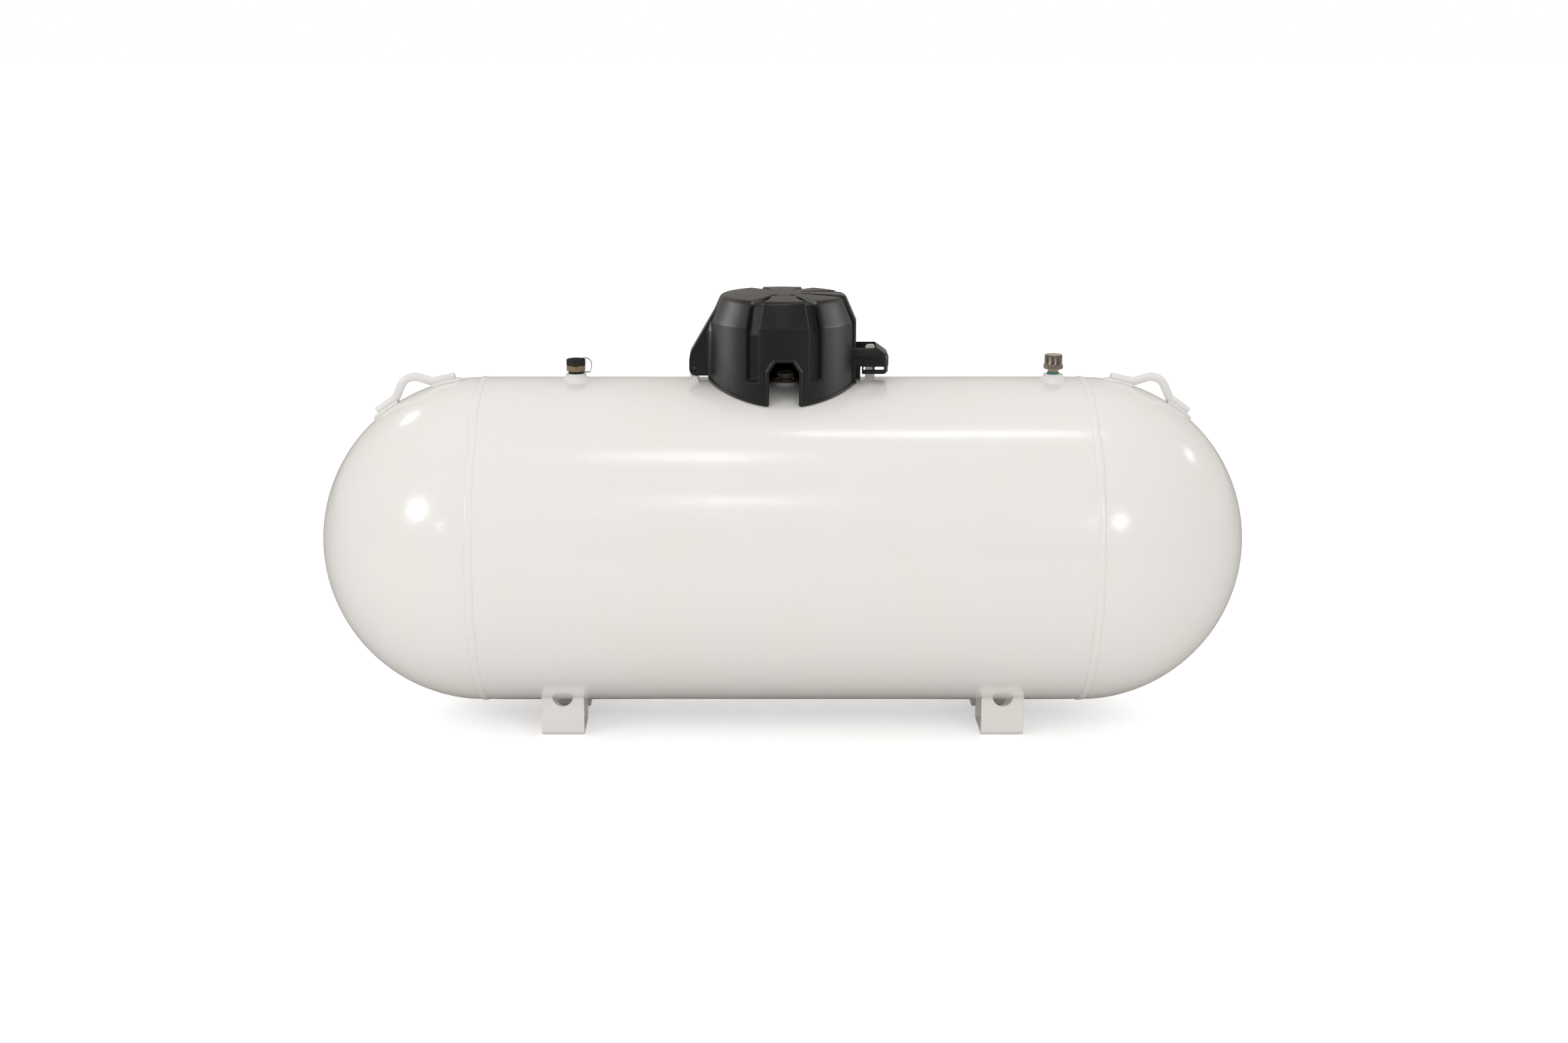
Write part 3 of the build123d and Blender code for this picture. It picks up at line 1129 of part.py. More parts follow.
# Latch guard: a box round the hasp, open above and below, with a leg down each side of the wall.
with BuildPart() as guard:
    with BuildSketch(Plane.XZ.offset(-LATCH_Y)):
        with BuildLine():
            Polyline(
                (LATCH_X0, TOP - DOME_SKIRT),
                (LATCH_LEG_X, TOP - DOME_SKIRT),
                (LATCH_LEG_X, TOP + LATCH_LEG_TOP),
                (LATCH_GAP_X, TOP + LATCH_LEG_TOP),
                (LATCH_GAP_X, TOP + LATCH_BOTTOM),
                (LATCH_X1 - LATCH_CORNER, TOP + LATCH_BOTTOM),
                (LATCH_X1, TOP + LATCH_BOTTOM + LATCH_CORNER),
                (LATCH_X1, TOP + LATCH_CHAMFER_Z),
                (LATCH_TOP_X, TOP + LATCH_TOP),
                (LATCH_X0, TOP + LATCH_TOP),
                close=True,
            )
        make_face()
    extrude(amount=2 * LATCH_Y)
    # Round the two outer corners in plan.
    with BuildSketch(Plane.XY.offset(TOP - DOME_SKIRT)):
        with Locations((LATCH_X0, 0)):
            RectangleRounded(2 * (LATCH_X1 - LATCH_X0), 2 * LATCH_Y, LATCH_PLAN_R)
    extrude(amount=2 * DOME_SKIRT + LATCH_TOP, mode=Mode.INTERSECT)
    # Lean the upper walls in a little.
    for y_side in (-1, 1):
        with BuildSketch(Plane.YZ.offset(LATCH_X0)):
            with BuildLine():
                Polyline(
                    (y_side * LATCH_TOP_Y, TOP + LATCH_TOP),
                    (y_side * LATCH_Y, TOP + LATCH_CHAMFER_Z),
                    (y_side * 2 * LATCH_Y, TOP + LATCH_CHAMFER_Z),
                    (y_side * 2 * LATCH_Y, TOP + 2 * LATCH_TOP),
                    (y_side * LATCH_TOP_Y, TOP + 2 * LATCH_TOP),
                    close=True,
                )
            make_face()
        extrude(amount=LATCH_X1 - LATCH_X0, mode=Mode.SUBTRACT)
    # Hollow it out from top to bottom.
    inner_y = LATCH_TOP_Y - LATCH_RIM_T
    with BuildSketch(Plane.XZ.offset(-inner_y)):
        with BuildLine():
            Polyline(
                (LATCH_X0, TOP - DOME_SKIRT),
                (LATCH_X1 - LATCH_T, TOP - DOME_SKIRT),
                (LATCH_X1 - LATCH_T, TOP + LATCH_CHAMFER_Z - LATCH_T / 2),
                (LATCH_TOP_X - LATCH_RIM_T, TOP + LATCH_TOP),
                (LATCH_X0, TOP + LATCH_TOP),
                close=True,
            )
        make_face()
    extrude(amount=2 * inner_y, mode=Mode.SUBTRACT)
    lower_x = LATCH_X1 - LATCH_PLAN_R - LATCH_X0
    with Locations((LATCH_X0 + lower_x / 2, 0, TOP + (LATCH_CHAMFER_Z - DOME_SKIRT) / 2)):
        Box(
            lower_x,
            2 * (LATCH_Y - LATCH_T),
            LATCH_CHAMFER_Z + DOME_SKIRT,
            mode=Mode.SUBTRACT,
        )
    # Two slots low in each long wall.
    for slot_x in LATCH_SLOT_X:
        with Locations((slot_x, 0, TOP + LATCH_SLOT_Z)):
            Box(LATCH_SLOT_L, 3 * LATCH_Y, LATCH_SLOT_H, mode=Mode.SUBTRACT)
    with Locations((0, 0, TOP)):
        Cylinder(DOME_R - LIP_ROOT, 4 * DOME_SKIRT, mode=Mode.SUBTRACT)

with BuildPart() as dome:
    add(dome_outer)
    # Raised round boss at the middle of the top.
    post(0, 0, DOME_TOP - BOSS_DEPTH, DOME_TOP + BOSS_H, BOSS_R)
    # Hinge housing: solid wedge, hollowed below.
    with BuildSketch(Plane.XZ.offset(-(FIN_Y + FIN_T))):
        with BuildLine():
            Polyline(
                (HINGE_TOP_X, TOP + HINGE_TOP_Z),
                (HINGE_KNEE_X, TOP + HINGE_KNEE_Z),
                (HINGE_BACK_X, TOP + HINGE_BACK_Z1),
                (HINGE_BACK_X, TOP + HINGE_BACK_Z0),
                (HINGE_TOE_X, TOP + HINGE_BOTTOM),
                (HINGE_ROOT_X, TOP + HINGE_BOTTOM),
                close=True,
            )
        make_face()
    extrude(amount=2 * (FIN_Y + FIN_T))
    with Locations(((LATCH_X0 + RIB_X) / 2, 0, TOP + (RIB_TOP - DOME_SKIRT) / 2)):
        Box(RIB_X - LATCH_X0, 2 * RIB_HALF_Y, RIB_TOP + DOME_SKIRT)
    add(guard.part)
    add(rim_lip.part)
    add(front_lip.part)
    # Hollow the moulding, its hinge housing and its rib.
    add(dome_inner, mode=Mode.SUBTRACT)
    hinge_wall_x = -(DOME_R + DOME_DRAFT)
    far_x = HINGE_BACK_X - BOSS_DEPTH
    with BuildSketch(Plane.XZ.offset(-FIN_Y)):
        with BuildLine():
            Polyline(
                (hinge_wall_x, TOP + DOME_SHOULDER - 2 * DOME_T),
                (HINGE_KNEE_X + FIN_T, TOP + HINGE_KNEE_Z - 1),
                (far_x, TOP + HINGE_KNEE_Z - 1),
                (far_x, TOP - HINGE_BOTTOM),
                (hinge_wall_x, TOP - HINGE_BOTTOM),
                close=True,
            )
        make_face()
    extrude(amount=2 * FIN_Y, mode=Mode.SUBTRACT)
    with Locations(((LATCH_X0 + RIB_X) / 2 - DOME_T, 0, TOP + (RIB_TOP - DOME_SKIRT) / 2 - DOME_T)):
        Box(RIB_X - LATCH_X0, 2 * (RIB_HALF_Y - DOME_T), RIB_TOP + DOME_SKIRT, mode=Mode.SUBTRACT)
    # Front opening and the saddle cut over the shell.
    with BuildSketch(Plane.XZ):
        notch_outline(NOTCH_HALF_W, NOTCH_KNEE, NOTCH_TOP_HALF_W, NOTCH_TOP)
    extrude(amount=NOTCH_REACH, mode=Mode.SUBTRACT)
    bar_y(HINGE_X, -2 * FIN_Y, 2 * FIN_Y, HINGE_Z, HINGE_PIN_R + RUN, Mode.SUBTRACT)
    tank_cut(R_OUT + DOME_GAP)
save(dome, "dome")

# ================================================================ hinge and hasp on the shell
bracket_y = FIN_Y - 1
cheek_y = bracket_y - BRACKET_T
with BuildPart() as hinge_bracket:
    with Locations((HINGE_X, 0, TOP + (HINGE_Z - BRACKET_ROOT) / 2)):
        Box(2 * BRACKET_HALF_W, 2 * bracket_y, HINGE_Z + BRACKET_ROOT)
    bar_y(HINGE_X, -bracket_y, bracket_y, HINGE_Z, BRACKET_HALF_W)
    with Locations((HINGE_X, 0, TOP + (BRACKET_FLOOR + BRACKET_TOP) / 2)):
        Box(4 * BRACKET_HALF_W, 2 * cheek_y, BRACKET_TOP - BRACKET_FLOOR, mode=Mode.SUBTRACT)
    bar_y(HINGE_X, -FIN_Y, FIN_Y, HINGE_Z, HINGE_PIN_R, Mode.SUBTRACT)
    tank_cut()
save(hinge_bracket, "hinge_bracket")

pin_y = FIN_Y + FIN_T + 1
with BuildPart() as hinge_pin:
    bar_y(HINGE_X, -pin_y, pin_y, HINGE_Z, HINGE_PIN_R)
save(hinge_pin, "hinge_pin")

with BuildPart() as hasp:
    with BuildSketch(Plane.XZ.offset(-HASP_T / 2)):
        with BuildLine():
            Polyline(
                (HASP_X0, TOP - HASP_ROOT),
                (HASP_X0, TOP + HASP_TOP - HASP_CORNER_Z),
                (HASP_X0 + HASP_CORNER_X, TOP + HASP_TOP),
                (HASP_X1 - HASP_CORNER_X, TOP + HASP_TOP),
                (HASP_X1, TOP + HASP_TOP - HASP_CORNER_Z),
                (HASP_X1, TOP - HASP_ROOT),
                close=True,
            )
        make_face()
    extrude(amount=HASP_T)
    hasp_mid = (HASP_X0 + HASP_X1) / 2
    bar_y(hasp_mid, -HASP_T, HASP_T, HASP_HOLE_Z, HASP_HOLE_R, Mode.SUBTRACT)
    tank_cut()
save(hasp, "hasp")

# Fillet welds round the couplings and along the hinge bracket and the hasp.
with BuildPart() as fitting_welds:
    for cx, cy, outer, bore, stand in (LIQUID, RELIEF, FILL, SERVICE):
        with BuildSketch(Plane.XZ.offset(-cy)):
            with BuildLine():
                Polyline(
                    (cx + outer, TOP - WELD_ROOT),
                    (cx + outer + WELD_LEG, TOP - WELD_ROOT),
                    (cx + outer + WELD_LEG, TOP - SEAM_H / 2),
                    (cx + outer + COUPLING_CHAMFER, TOP + WELD_LEG / 2),
                    (cx + outer, TOP + WELD_LEG),
                    close=True,
                )
            make_face()
        revolve(axis=Axis((cx, cy, 0), (0, 0, 1)))
    post(gx, gy, -COUPLING_DEPTH, -SEAM_END_GAP, gauge_outer + BRACE_BEAD)
    post(gx, gy, -COUPLING_DEPTH, gauge_stand, gauge_outer, Mode.SUBTRACT)
    for x0, x1, face in (
        (HASP_X0, HASP_X1, HASP_T / 2),
        (HINGE_X - BRACKET_HALF_W, HINGE_X + BRACKET_HALF_W, bracket_y),
    ):
        drop = face * face / (2 * R_OUT)
        for y_side in (-1, 1):
            with BuildSketch(Plane.YZ.offset(x0)):
                with BuildLine():
                    Polyline(
                        (y_side * face, TOP - WELD_ROOT),
                        (y_side * face, TOP + BRACE_BEAD - drop),
                        (y_side * (face + BRACE_BEAD), TOP - SEAM_END_GAP - drop),
                        (y_side * (face + BRACE_BEAD), TOP - WELD_ROOT),
                        close=True,
                    )
                make_face()
            extrude(amount=x1 - x0)
    tank_cut()
save(fitting_welds, "fitting_welds")

# Blank data plate, rolled to the shell, behind the valves.
with BuildPart() as data_plate:
    with BuildSketch(Plane.YZ.offset(-PLATE_L / 2)):
        with Locations((0, AXIS_H)):
            Circle(R_OUT + PLATE_T)
            Circle(R_OUT, mode=Mode.SUBTRACT)
        with Locations((PLATE_Y, AXIS_H + math.sqrt(R_OUT**2 - PLATE_Y**2))):
            Rectangle(PLATE_H, PLATE_H, mode=Mode.INTERSECT)
    extrude(amount=PLATE_L)
save(data_plate, "data_plate")
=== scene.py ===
"""Looks of the propane tank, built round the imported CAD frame.

Lengths are in millimetres while shapes are worked out and become metres when a mesh is made.
Heights called z are above the ground; TOP is the top of the shell.
"""

import itertools
import math

import bmesh
import bpy
import numpy as np
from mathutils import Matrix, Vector


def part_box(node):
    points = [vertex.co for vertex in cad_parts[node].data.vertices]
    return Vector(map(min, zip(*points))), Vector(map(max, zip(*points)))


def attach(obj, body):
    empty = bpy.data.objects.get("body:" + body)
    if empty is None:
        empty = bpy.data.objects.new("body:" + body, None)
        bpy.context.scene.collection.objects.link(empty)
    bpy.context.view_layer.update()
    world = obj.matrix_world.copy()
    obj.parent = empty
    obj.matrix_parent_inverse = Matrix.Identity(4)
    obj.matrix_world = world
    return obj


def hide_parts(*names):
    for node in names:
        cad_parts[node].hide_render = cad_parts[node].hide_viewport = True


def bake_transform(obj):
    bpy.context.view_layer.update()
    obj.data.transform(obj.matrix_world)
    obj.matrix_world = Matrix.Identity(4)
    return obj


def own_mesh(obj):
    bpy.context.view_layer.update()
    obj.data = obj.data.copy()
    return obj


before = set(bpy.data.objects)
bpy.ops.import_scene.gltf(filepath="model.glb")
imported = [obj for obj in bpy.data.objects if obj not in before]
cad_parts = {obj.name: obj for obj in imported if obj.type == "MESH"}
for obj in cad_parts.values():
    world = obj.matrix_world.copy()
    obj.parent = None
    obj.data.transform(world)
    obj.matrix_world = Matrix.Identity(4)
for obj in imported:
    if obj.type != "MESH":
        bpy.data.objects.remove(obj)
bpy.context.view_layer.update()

MM = 0.001


def span(name):
    """Corners of a CAD piece's box in millimetres, to the nearest half."""
    return [[round(2 * v / MM) / 2 for v in corner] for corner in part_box(name)]


def upright(name):
    """Middle in plan, radius and height above TOP of an upright round CAD piece."""
    lo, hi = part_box(name)
    cx, cy, radius = (hi.x + lo.x) / 2, (hi.y + lo.y) / 2, (hi.x - lo.x) / 2
    return [round(2 * v / MM) / 2 for v in (cx, cy, radius, hi.z - TOP * MM)]


(_, _, SHELL_LOW), (_, _, TOP) = span("shell")
R_OUT = (TOP - SHELL_LOW) / 2
AXIS = TOP - R_OUT
BEAD_W = 20.0
TANGENT = span("girth_welds")[1][0] - BEAD_W / 2  # middle of a girth weld
HEAD_X = span("head_right")[0][0]  # centre of a head's hemisphere


# ---- numbers
def noise(p, seed=0):
    """Smooth value noise in -1..1 at points p (..., 3), one cell per unit."""
    p = np.asarray(p, float)
    base = np.floor(p).astype(np.int64)
    f = p - base
    f = f * f * (3 - 2 * f)
    total = np.zeros(p.shape[:-1])
    for corner in itertools.product((0, 1), repeat=3):
        # The hash's primes spread neighbouring cells over the whole range.
        cell = base + corner
        h = cell[..., 0] * 374761393 + cell[..., 1] * 668265263
        h = h + cell[..., 2] * 2147483647 + seed * 1274126177
        h = (h ^ (h >> 13)) * 1274126177
        h = (h ^ (h >> 16)) & 0xFFFF
        near = np.abs(1 - np.array(corner) - f)
        total += near[..., 0] * near[..., 1] * near[..., 2] * (h / 32767.5 - 1)
    return total


def ramp(x, lo, hi, ease=0.2):
    """0 below lo, 1 above hi, straight between with softened ends."""
    t = (np.asarray(x, float) - lo) / (hi - lo)

    def soft(v):
        return np.where(v <= -ease, 0.0, np.where(v >= ease, v, (v + ease) ** 2 / (4 * ease)))

    return np.clip(soft(t) - soft(t - 1), 0, 1)


def smooth_min(a, b, k):
    """The smaller of a and b, with the change between them rounded over k."""
    h = np.clip(0.5 + 0.5 * (b - a) / k, 0, 1)
    return b * (1 - h) + a * h - k * h * (1 - h)


def fillet_path(points, radii, steps=5):
    """Polyline with its inner corners rounded; radii is one number or one per inner corner."""
    pts = [np.array(p, float) for p in points]
    if not hasattr(radii, "__len__"):
        radii = [radii] * (len(pts) - 2)
    out = [pts[0]]
    for i in range(1, len(pts) - 1):
        a, b, c = pts[i - 1], pts[i], pts[i + 1]
        u, v = a - b, c - b
        lu, lv = np.linalg.norm(u), np.linalg.norm(v)
        u, v = u / lu, v / lv
        angle = math.acos(float(np.clip(u @ v, -1, 1)))
        r = radii[i - 1]
        cut = r / math.tan(angle / 2) if angle > 1e-3 else 0
        limit = 0.49 * min(lu, lv)
        if cut > limit:
            cut = limit
            r = cut * math.tan(angle / 2)
        if r < 1e-3 or angle > math.pi - 1e-3:
            out.append(b)
            continue
        centre = b + (u + v) / np.linalg.norm(u + v) * (r / math.sin(angle / 2))
        p, q = b + u * cut - centre, b + v * cut - centre
        sweep = math.acos(float(np.clip(p @ q / (r * r), -1, 1)))
        for k in range(steps + 1):
            t = k / steps
            out.append(centre + (p * math.sin((1 - t) * sweep) + q * math.sin(t * sweep)) / math.sin(sweep))
    out.append(pts[-1])
    return np.array(out)


def resample(path, step):
    """Points every step along a polyline, ends kept."""
    path = np.asarray(path, float)
    seg = np.linalg.norm(np.diff(path, axis=0), axis=1)
    s = np.concatenate([[0], np.cumsum(seg)])
    n = max(2, int(round(s[-1] / step)) + 1)
    at = np.linspace(0, s[-1], n)
    return np.stack([np.interp(at, s, path[:, k]) for k in range(path.shape[1])], 1)


# ---- meshes
def quads(nu, nv, wrap_u=False, wrap_v=False):
    """Faces of a grid of nu by nv points stored row by row."""
    u = np.arange(nu if wrap_u else nu - 1)
    v = np.arange(nv if wrap_v else nv - 1)
    uu, vv = np.meshgrid(u, v, indexing="ij")
    a = uu * nv + vv
    b = ((uu + 1) % nu) * nv + vv
    c = ((uu + 1) % nu) * nv + (vv + 1) % nv
    d = uu * nv + (vv + 1) % nv
    return np.stack([a, b, c, d], -1).reshape(-1, 4)


def new_object(name, data):
    """Object for a mesh, light or camera, linked to the scene."""
    obj = bpy.data.objects.new(name, data)
    bpy.context.scene.collection.objects.link(obj)
    return obj


def make(name, verts, faces, smooth=True):
    """Mesh object from points in millimetres."""
    mesh = bpy.data.meshes.new(name)
    mesh.from_pydata((np.asarray(verts, float) * MM).tolist(), [], [list(map(int, f)) for f in faces])
    mesh.validate()
    mesh.update()
    if smooth:
        mesh.shade_smooth()
    return new_object(name, mesh)


def skin(name, grid, wrap_u=True, wrap_v=True):
    """Mesh over a grid of points (rows, columns, 3)."""
    grid = np.asarray(grid)
    return make(name, grid.reshape(-1, 3), quads(*grid.shape[:2], wrap_u, wrap_v))


def clean(obj, merge=0.0):
    """Merges points closer than merge metres and turns the faces outward."""
    bm = bmesh.new()
    bm.from_mesh(obj.data)
    if merge:
        bmesh.ops.remove_doubles(bm, verts=bm.verts, dist=merge)
    bmesh.ops.recalc_face_normals(bm, faces=bm.faces)
    bm.to_mesh(obj.data)
    bm.free()
    return obj


def tube(name, rows, smooth=True):
    """Solid through rows of section points, its two ends capped."""
    n, m = len(rows), len(rows[0])
    faces = quads(n, m, wrap_v=True).tolist()
    faces += [list(range(m)), list(range((n - 1) * m, n * m))]
    return clean(make(name, np.concatenate(rows), faces, smooth))


def crease(obj, degrees=32):
    """Smooth shading that keeps edges sharper than the angle."""
    obj.data.shade_smooth()
    obj.data.set_sharp_from_angle(angle=math.radians(degrees))
    return obj


def bake(obj):
    """Applies every modifier."""
    depsgraph = bpy.context.evaluated_depsgraph_get()
    mesh = bpy.data.meshes.new_from_object(obj.evaluated_get(depsgraph))
    obj.modifiers.clear()
    old = obj.data
    obj.data = mesh
    bpy.data.meshes.remove(old)
    return obj


def join(name, objs):
    """One object out of several, keeping their materials."""
    if len(objs) > 1:
        with bpy.context.temp_override(
            active_object=objs[0], object=objs[0], selected_objects=objs, selected_editable_objects=objs
        ):
            bpy.ops.object.join()
    objs[0].name = name
    return objs[0]


def cut(obj, tool, operation="DIFFERENCE"):
    """Boolean with a tool that is then removed."""
    mod = obj.modifiers.new("cut", "BOOLEAN")
    mod.operation = operation
    mod.object = tool
    mod.solver = "EXACT"
    bake(obj)
    bpy.data.objects.remove(tool)
    return obj


def bevel(obj, width, segments=3, angle=35):
    """Rounds edges sharper than the angle; width is in millimetres."""
    mod = obj.modifiers.new("bevel", "BEVEL")
    mod.width = width * MM
    mod.segments = segments
    mod.limit_method = "ANGLE"
    mod.angle_limit = math.radians(angle)
    mod.harden_normals = False
    return obj


def turn(count):
    """Angles all the way round, without the last one that meets the first."""
    return np.arange(count) * 2 * math.pi / count


def lathe(name, profile, centre=(0, 0, 0), segments=96, axis="z", radius_fn=None):
    """Solid of revolution from (radius, height) points; ends on the axis are closed."""
    profile = np.asarray(profile, float)
    r, h = (np.tile(profile[:, k], (segments, 1)) for k in (0, 1))
    a = np.tile(turn(segments)[:, None], len(profile))
    if radius_fn is not None:
        r, h = radius_fn(r, h, a)
    x, y = r * np.cos(a), r * np.sin(a)
    if axis == "z":
        pts = np.stack([x, y, h], -1)
    elif axis == "y":
        pts = np.stack([x, h, -y], -1)
    else:
        pts = np.stack([h, x, y], -1)
    return crease(clean(skin(name, pts + np.array(centre, float), wrap_v=False), 1e-6))


def rod(name, radius, lo, hi, centre, segments, axis="z"):
    """Cylinder along an axis, used as a cutter."""
    return lathe(name, [(0, lo), (radius, lo), (radius, hi), (0, hi)], centre, segments, axis)


def prism(name, outline, lo, hi, plane="xz"):
    """Closed prism from an outline: plane xz is pushed along y, plane xy along z."""
    n = len(outline)
    pts = [(a, depth, b) if plane == "xz" else (a, b, depth) for depth in (lo, hi) for a, b in outline]
    faces = [list(range(n)), list(range(2 * n - 1, n - 1, -1))]
    faces += [[i, (i + 1) % n, n + (i + 1) % n, n + i] for i in range(n)]
    return clean(make(name, pts, faces, smooth=False))


def round_outline(points, radii, steps=6):
    """Closed outline with rounded corners."""
    pts = [np.array(p, float) for p in points]
    n = len(pts)
    if not hasattr(radii, "__len__"):
        radii = [radii] * n
    out = []
    for i in range(n):
        piece = fillet_path([pts[i - 1], pts[i], pts[(i + 1) % n]], [radii[i]], steps)
        out.extend(piece[1:-1])
    return np.array(out)


def box_outline(x0, y0, x1, y1, radii, steps=6):
    """Rectangle with rounded corners, from its low corner round by its far x side."""
    return round_outline([(x0, y0), (x1, y0), (x1, y1), (x0, y1)], radii, steps)


def sweep(name, path, section_fn, up):
    """Tube along a path; section_fn(i, s) gives section points (across, out) at point i."""
    path = np.asarray(path, float)
    tangent = np.gradient(path, axis=0)
    tangent /= np.linalg.norm(tangent, axis=1)[:, None]
    s = np.concatenate([[0], np.cumsum(np.linalg.norm(np.diff(path, axis=0), axis=1))])
    rows = []
    for i in range(len(path)):
        out = np.array(up(path[i]) if callable(up) else up, float)
        out = out - (out @ tangent[i]) * tangent[i]
        out /= np.linalg.norm(out)
        across = np.cross(tangent[i], out)
        sec = section_fn(i, s[i])
        rows.append(path[i] + sec[:, :1] * across + sec[:, 1:] * out)
    return tube(name, rows)


def ring_section(radius, count, flat=1.0):
    """Round section, or an oval one when flat is below 1."""
    a = turn(count)
    return np.stack([radius * np.cos(a), radius * flat * np.sin(a)], 1)


def weld_bead(name, path, radius, up, seed=0, pitch=6.0, flat=0.85):
    """Fillet bead: a round string with the ripples and the wander of a hand-laid weld."""
    step = 1.5
    path = resample(path, step)
    s = np.arange(len(path)) * step
    where = np.stack([s / 22, np.full(len(s), 3.7), np.full(len(s), float(seed))], 1)
    wander = noise(where, seed)
    lumps = noise(where * 3.1, seed + 5)
    ripple = np.abs(np.sin(math.pi * (s + 2.5 * wander) / pitch)) ** 0.7
    size = radius * (1 + 0.10 * wander + 0.10 * lumps - 0.10 * (1 - ripple))

    def section(i, _):
        return ring_section(size[i], 14, flat) + np.array([0.9 * wander[i], 0.0])

    return sweep(name, path, section, up)


# ---- materials
def feed(node, **inputs):
    """Sets a node's inputs, written with _ for a space, to values or links them to sockets."""
    for name, value in inputs.items():
        socket = node.inputs[name.replace("_", " ")]
        if isinstance(value, bpy.types.NodeSocket):
            node.id_data.links.new(value, socket)
        else:
            socket.default_value = value
    return node


def shader(name, base, rough, metallic=0.0, coat=0.0, spec=0.5):
    """Material with a principled shader, its node tree and the shader node."""
    mat = bpy.data.materials.new(name)
    mat.use_nodes = True
    tree = mat.node_tree
    bsdf = tree.nodes.get("Principled BSDF") or tree.nodes.new("ShaderNodeBsdfPrincipled")
    feed(bsdf, Base_Color=(*base, 1), Roughness=rough, Metallic=metallic)
    feed(bsdf, Coat_Weight=coat, Coat_Roughness=0.06, Specular_IOR_Level=spec)
    return mat, tree, bsdf


def coords(tree):
    return tree.nodes.new("ShaderNodeTexCoord").outputs["Object"]


def noise_node(tree, vector, scale, detail=3.0, rough=0.55):
    node = tree.nodes.new("ShaderNodeTexNoise")
    return feed(node, Scale=scale, Detail=detail, Roughness=rough, Vector=vector).outputs["Fac"]


def map_range(tree, value, lo, hi, to_lo=0.0, to_hi=1.0):
    node = tree.nodes.new("ShaderNodeMapRange")
    feed(node, From_Min=lo, From_Max=hi, To_Min=to_lo, To_Max=to_hi, Value=value)
    return node.outputs["Result"]


def mix_colour(tree, fac, a, b):
    """Colour a where fac is 0 and b where it is 1; each is a tuple or a socket."""
    node = tree.nodes.new("ShaderNodeMix")
    node.data_type = "RGBA"
    for socket, value in ((node.inputs[6], a), (node.inputs[7], b)):
        if isinstance(value, tuple):
            socket.default_value = (*value, 1)
        else:
            tree.links.new(value, socket)
    tree.links.new(fac, node.inputs[0])
    return node.outputs[2]


def bump(tree, height, distance, before=None):
    """Normal raised by a height in metres, added to the bump before it."""
    node = feed(tree.nodes.new("ShaderNodeBump"), Distance=distance, Strength=1.0, Height=height)
    if before is not None:
        feed(node, Normal=before)
    return node.outputs["Normal"]


def paint(name, base, rough, peel=0.00010, speck=0.0, coat=0.6):
    """Enamel over steel: orange peel, faint cloudiness, optional dirt specks."""
    mat, tree, bsdf = shader(name, base, rough, coat=coat)
    vec = coords(tree)
    cloud = noise_node(tree, vec, 5.0, 4)
    fine = noise_node(tree, vec, 210.0, 2)
    mist = noise_node(tree, vec, 900.0, 2)
    warm = tuple(c * k for c, k in zip(base, (0.992, 0.982, 0.966)))
    colour = mix_colour(tree, map_range(tree, cloud, 0.35, 0.7), base, warm)
    if speck > 0:
        spots = noise_node(tree, vec, 420.0, 3, 0.7)
        mask = map_range(tree, spots, 0.66, 0.72, 0.0, speck)
        colour = mix_colour(tree, mask, colour, (0.30, 0.28, 0.25))
    normal = bump(tree, mist, peel * 0.25, bump(tree, fine, peel))
    sheen = map_range(tree, cloud, 0.3, 0.7, rough * 0.85, rough * 1.2)
    feed(bsdf, Base_Color=colour, Roughness=sheen, Normal=normal, Coat_Normal=normal)
    return mat


def plastic(name, base, rough, grain=1500.0, spec=0.5):
    """Moulded plastic with a fine even grain."""
    mat, tree, bsdf = shader(name, base, rough, spec=spec)
    vec = coords(tree)
    cells = feed(tree.nodes.new("ShaderNodeTexVoronoi"), Scale=grain, Vector=vec)
    cloud = noise_node(tree, vec, 9.0, 4)
    dust = noise_node(tree, vec, 60.0, 5, 0.65)
    pale = tuple(c * 1.15 + 0.003 for c in base)
    colour = mix_colour(tree, map_range(tree, cloud, 0.4, 0.75), base, pale)
    sheen = map_range(tree, dust, 0.3, 0.8, rough * 0.88, rough * 1.12)
    feed(bsdf, Base_Color=colour, Roughness=sheen, Normal=bump(tree, cells.outputs["Distance"], 0.00004))
    return mat


def metal(name, base, rough, stain=None):
    """Machined or plated metal with turned marks and light staining."""
    mat, tree, bsdf = shader(name, base, rough, metallic=1.0)
    vec = coords(tree)
    marks = noise_node(tree, vec, 700.0, 4, 0.7)
    cloud = noise_node(tree, vec, 70.0, 5, 0.6)
    stain = stain or tuple(c * 0.72 for c in base)
    colour = mix_colour(tree, map_range(tree, cloud, 0.42, 0.72), base, stain)
    sheen = map_range(tree, marks, 0.3, 0.7, rough * 0.75, rough * 1.3)
    feed(bsdf, Base_Color=colour, Roughness=sheen, Normal=bump(tree, marks, 0.00002))
    return mat


def rubber(name, base, rough=0.62):
    """Moulded rubber with a faint bloom."""
    mat, tree, bsdf = shader(name, base, rough)
    vec = coords(tree)
    fine = noise_node(tree, vec, 800.0, 3)
    cloud = noise_node(tree, vec, 40.0, 4)
    pale = tuple(min(1, c * 1.5 + 0.01) for c in base)
    colour = mix_colour(tree, map_range(tree, cloud, 0.45, 0.8, 0.0, 0.8), base, pale)
    feed(bsdf, Base_Color=colour, Normal=bump(tree, fine, 0.00005))
    return mat


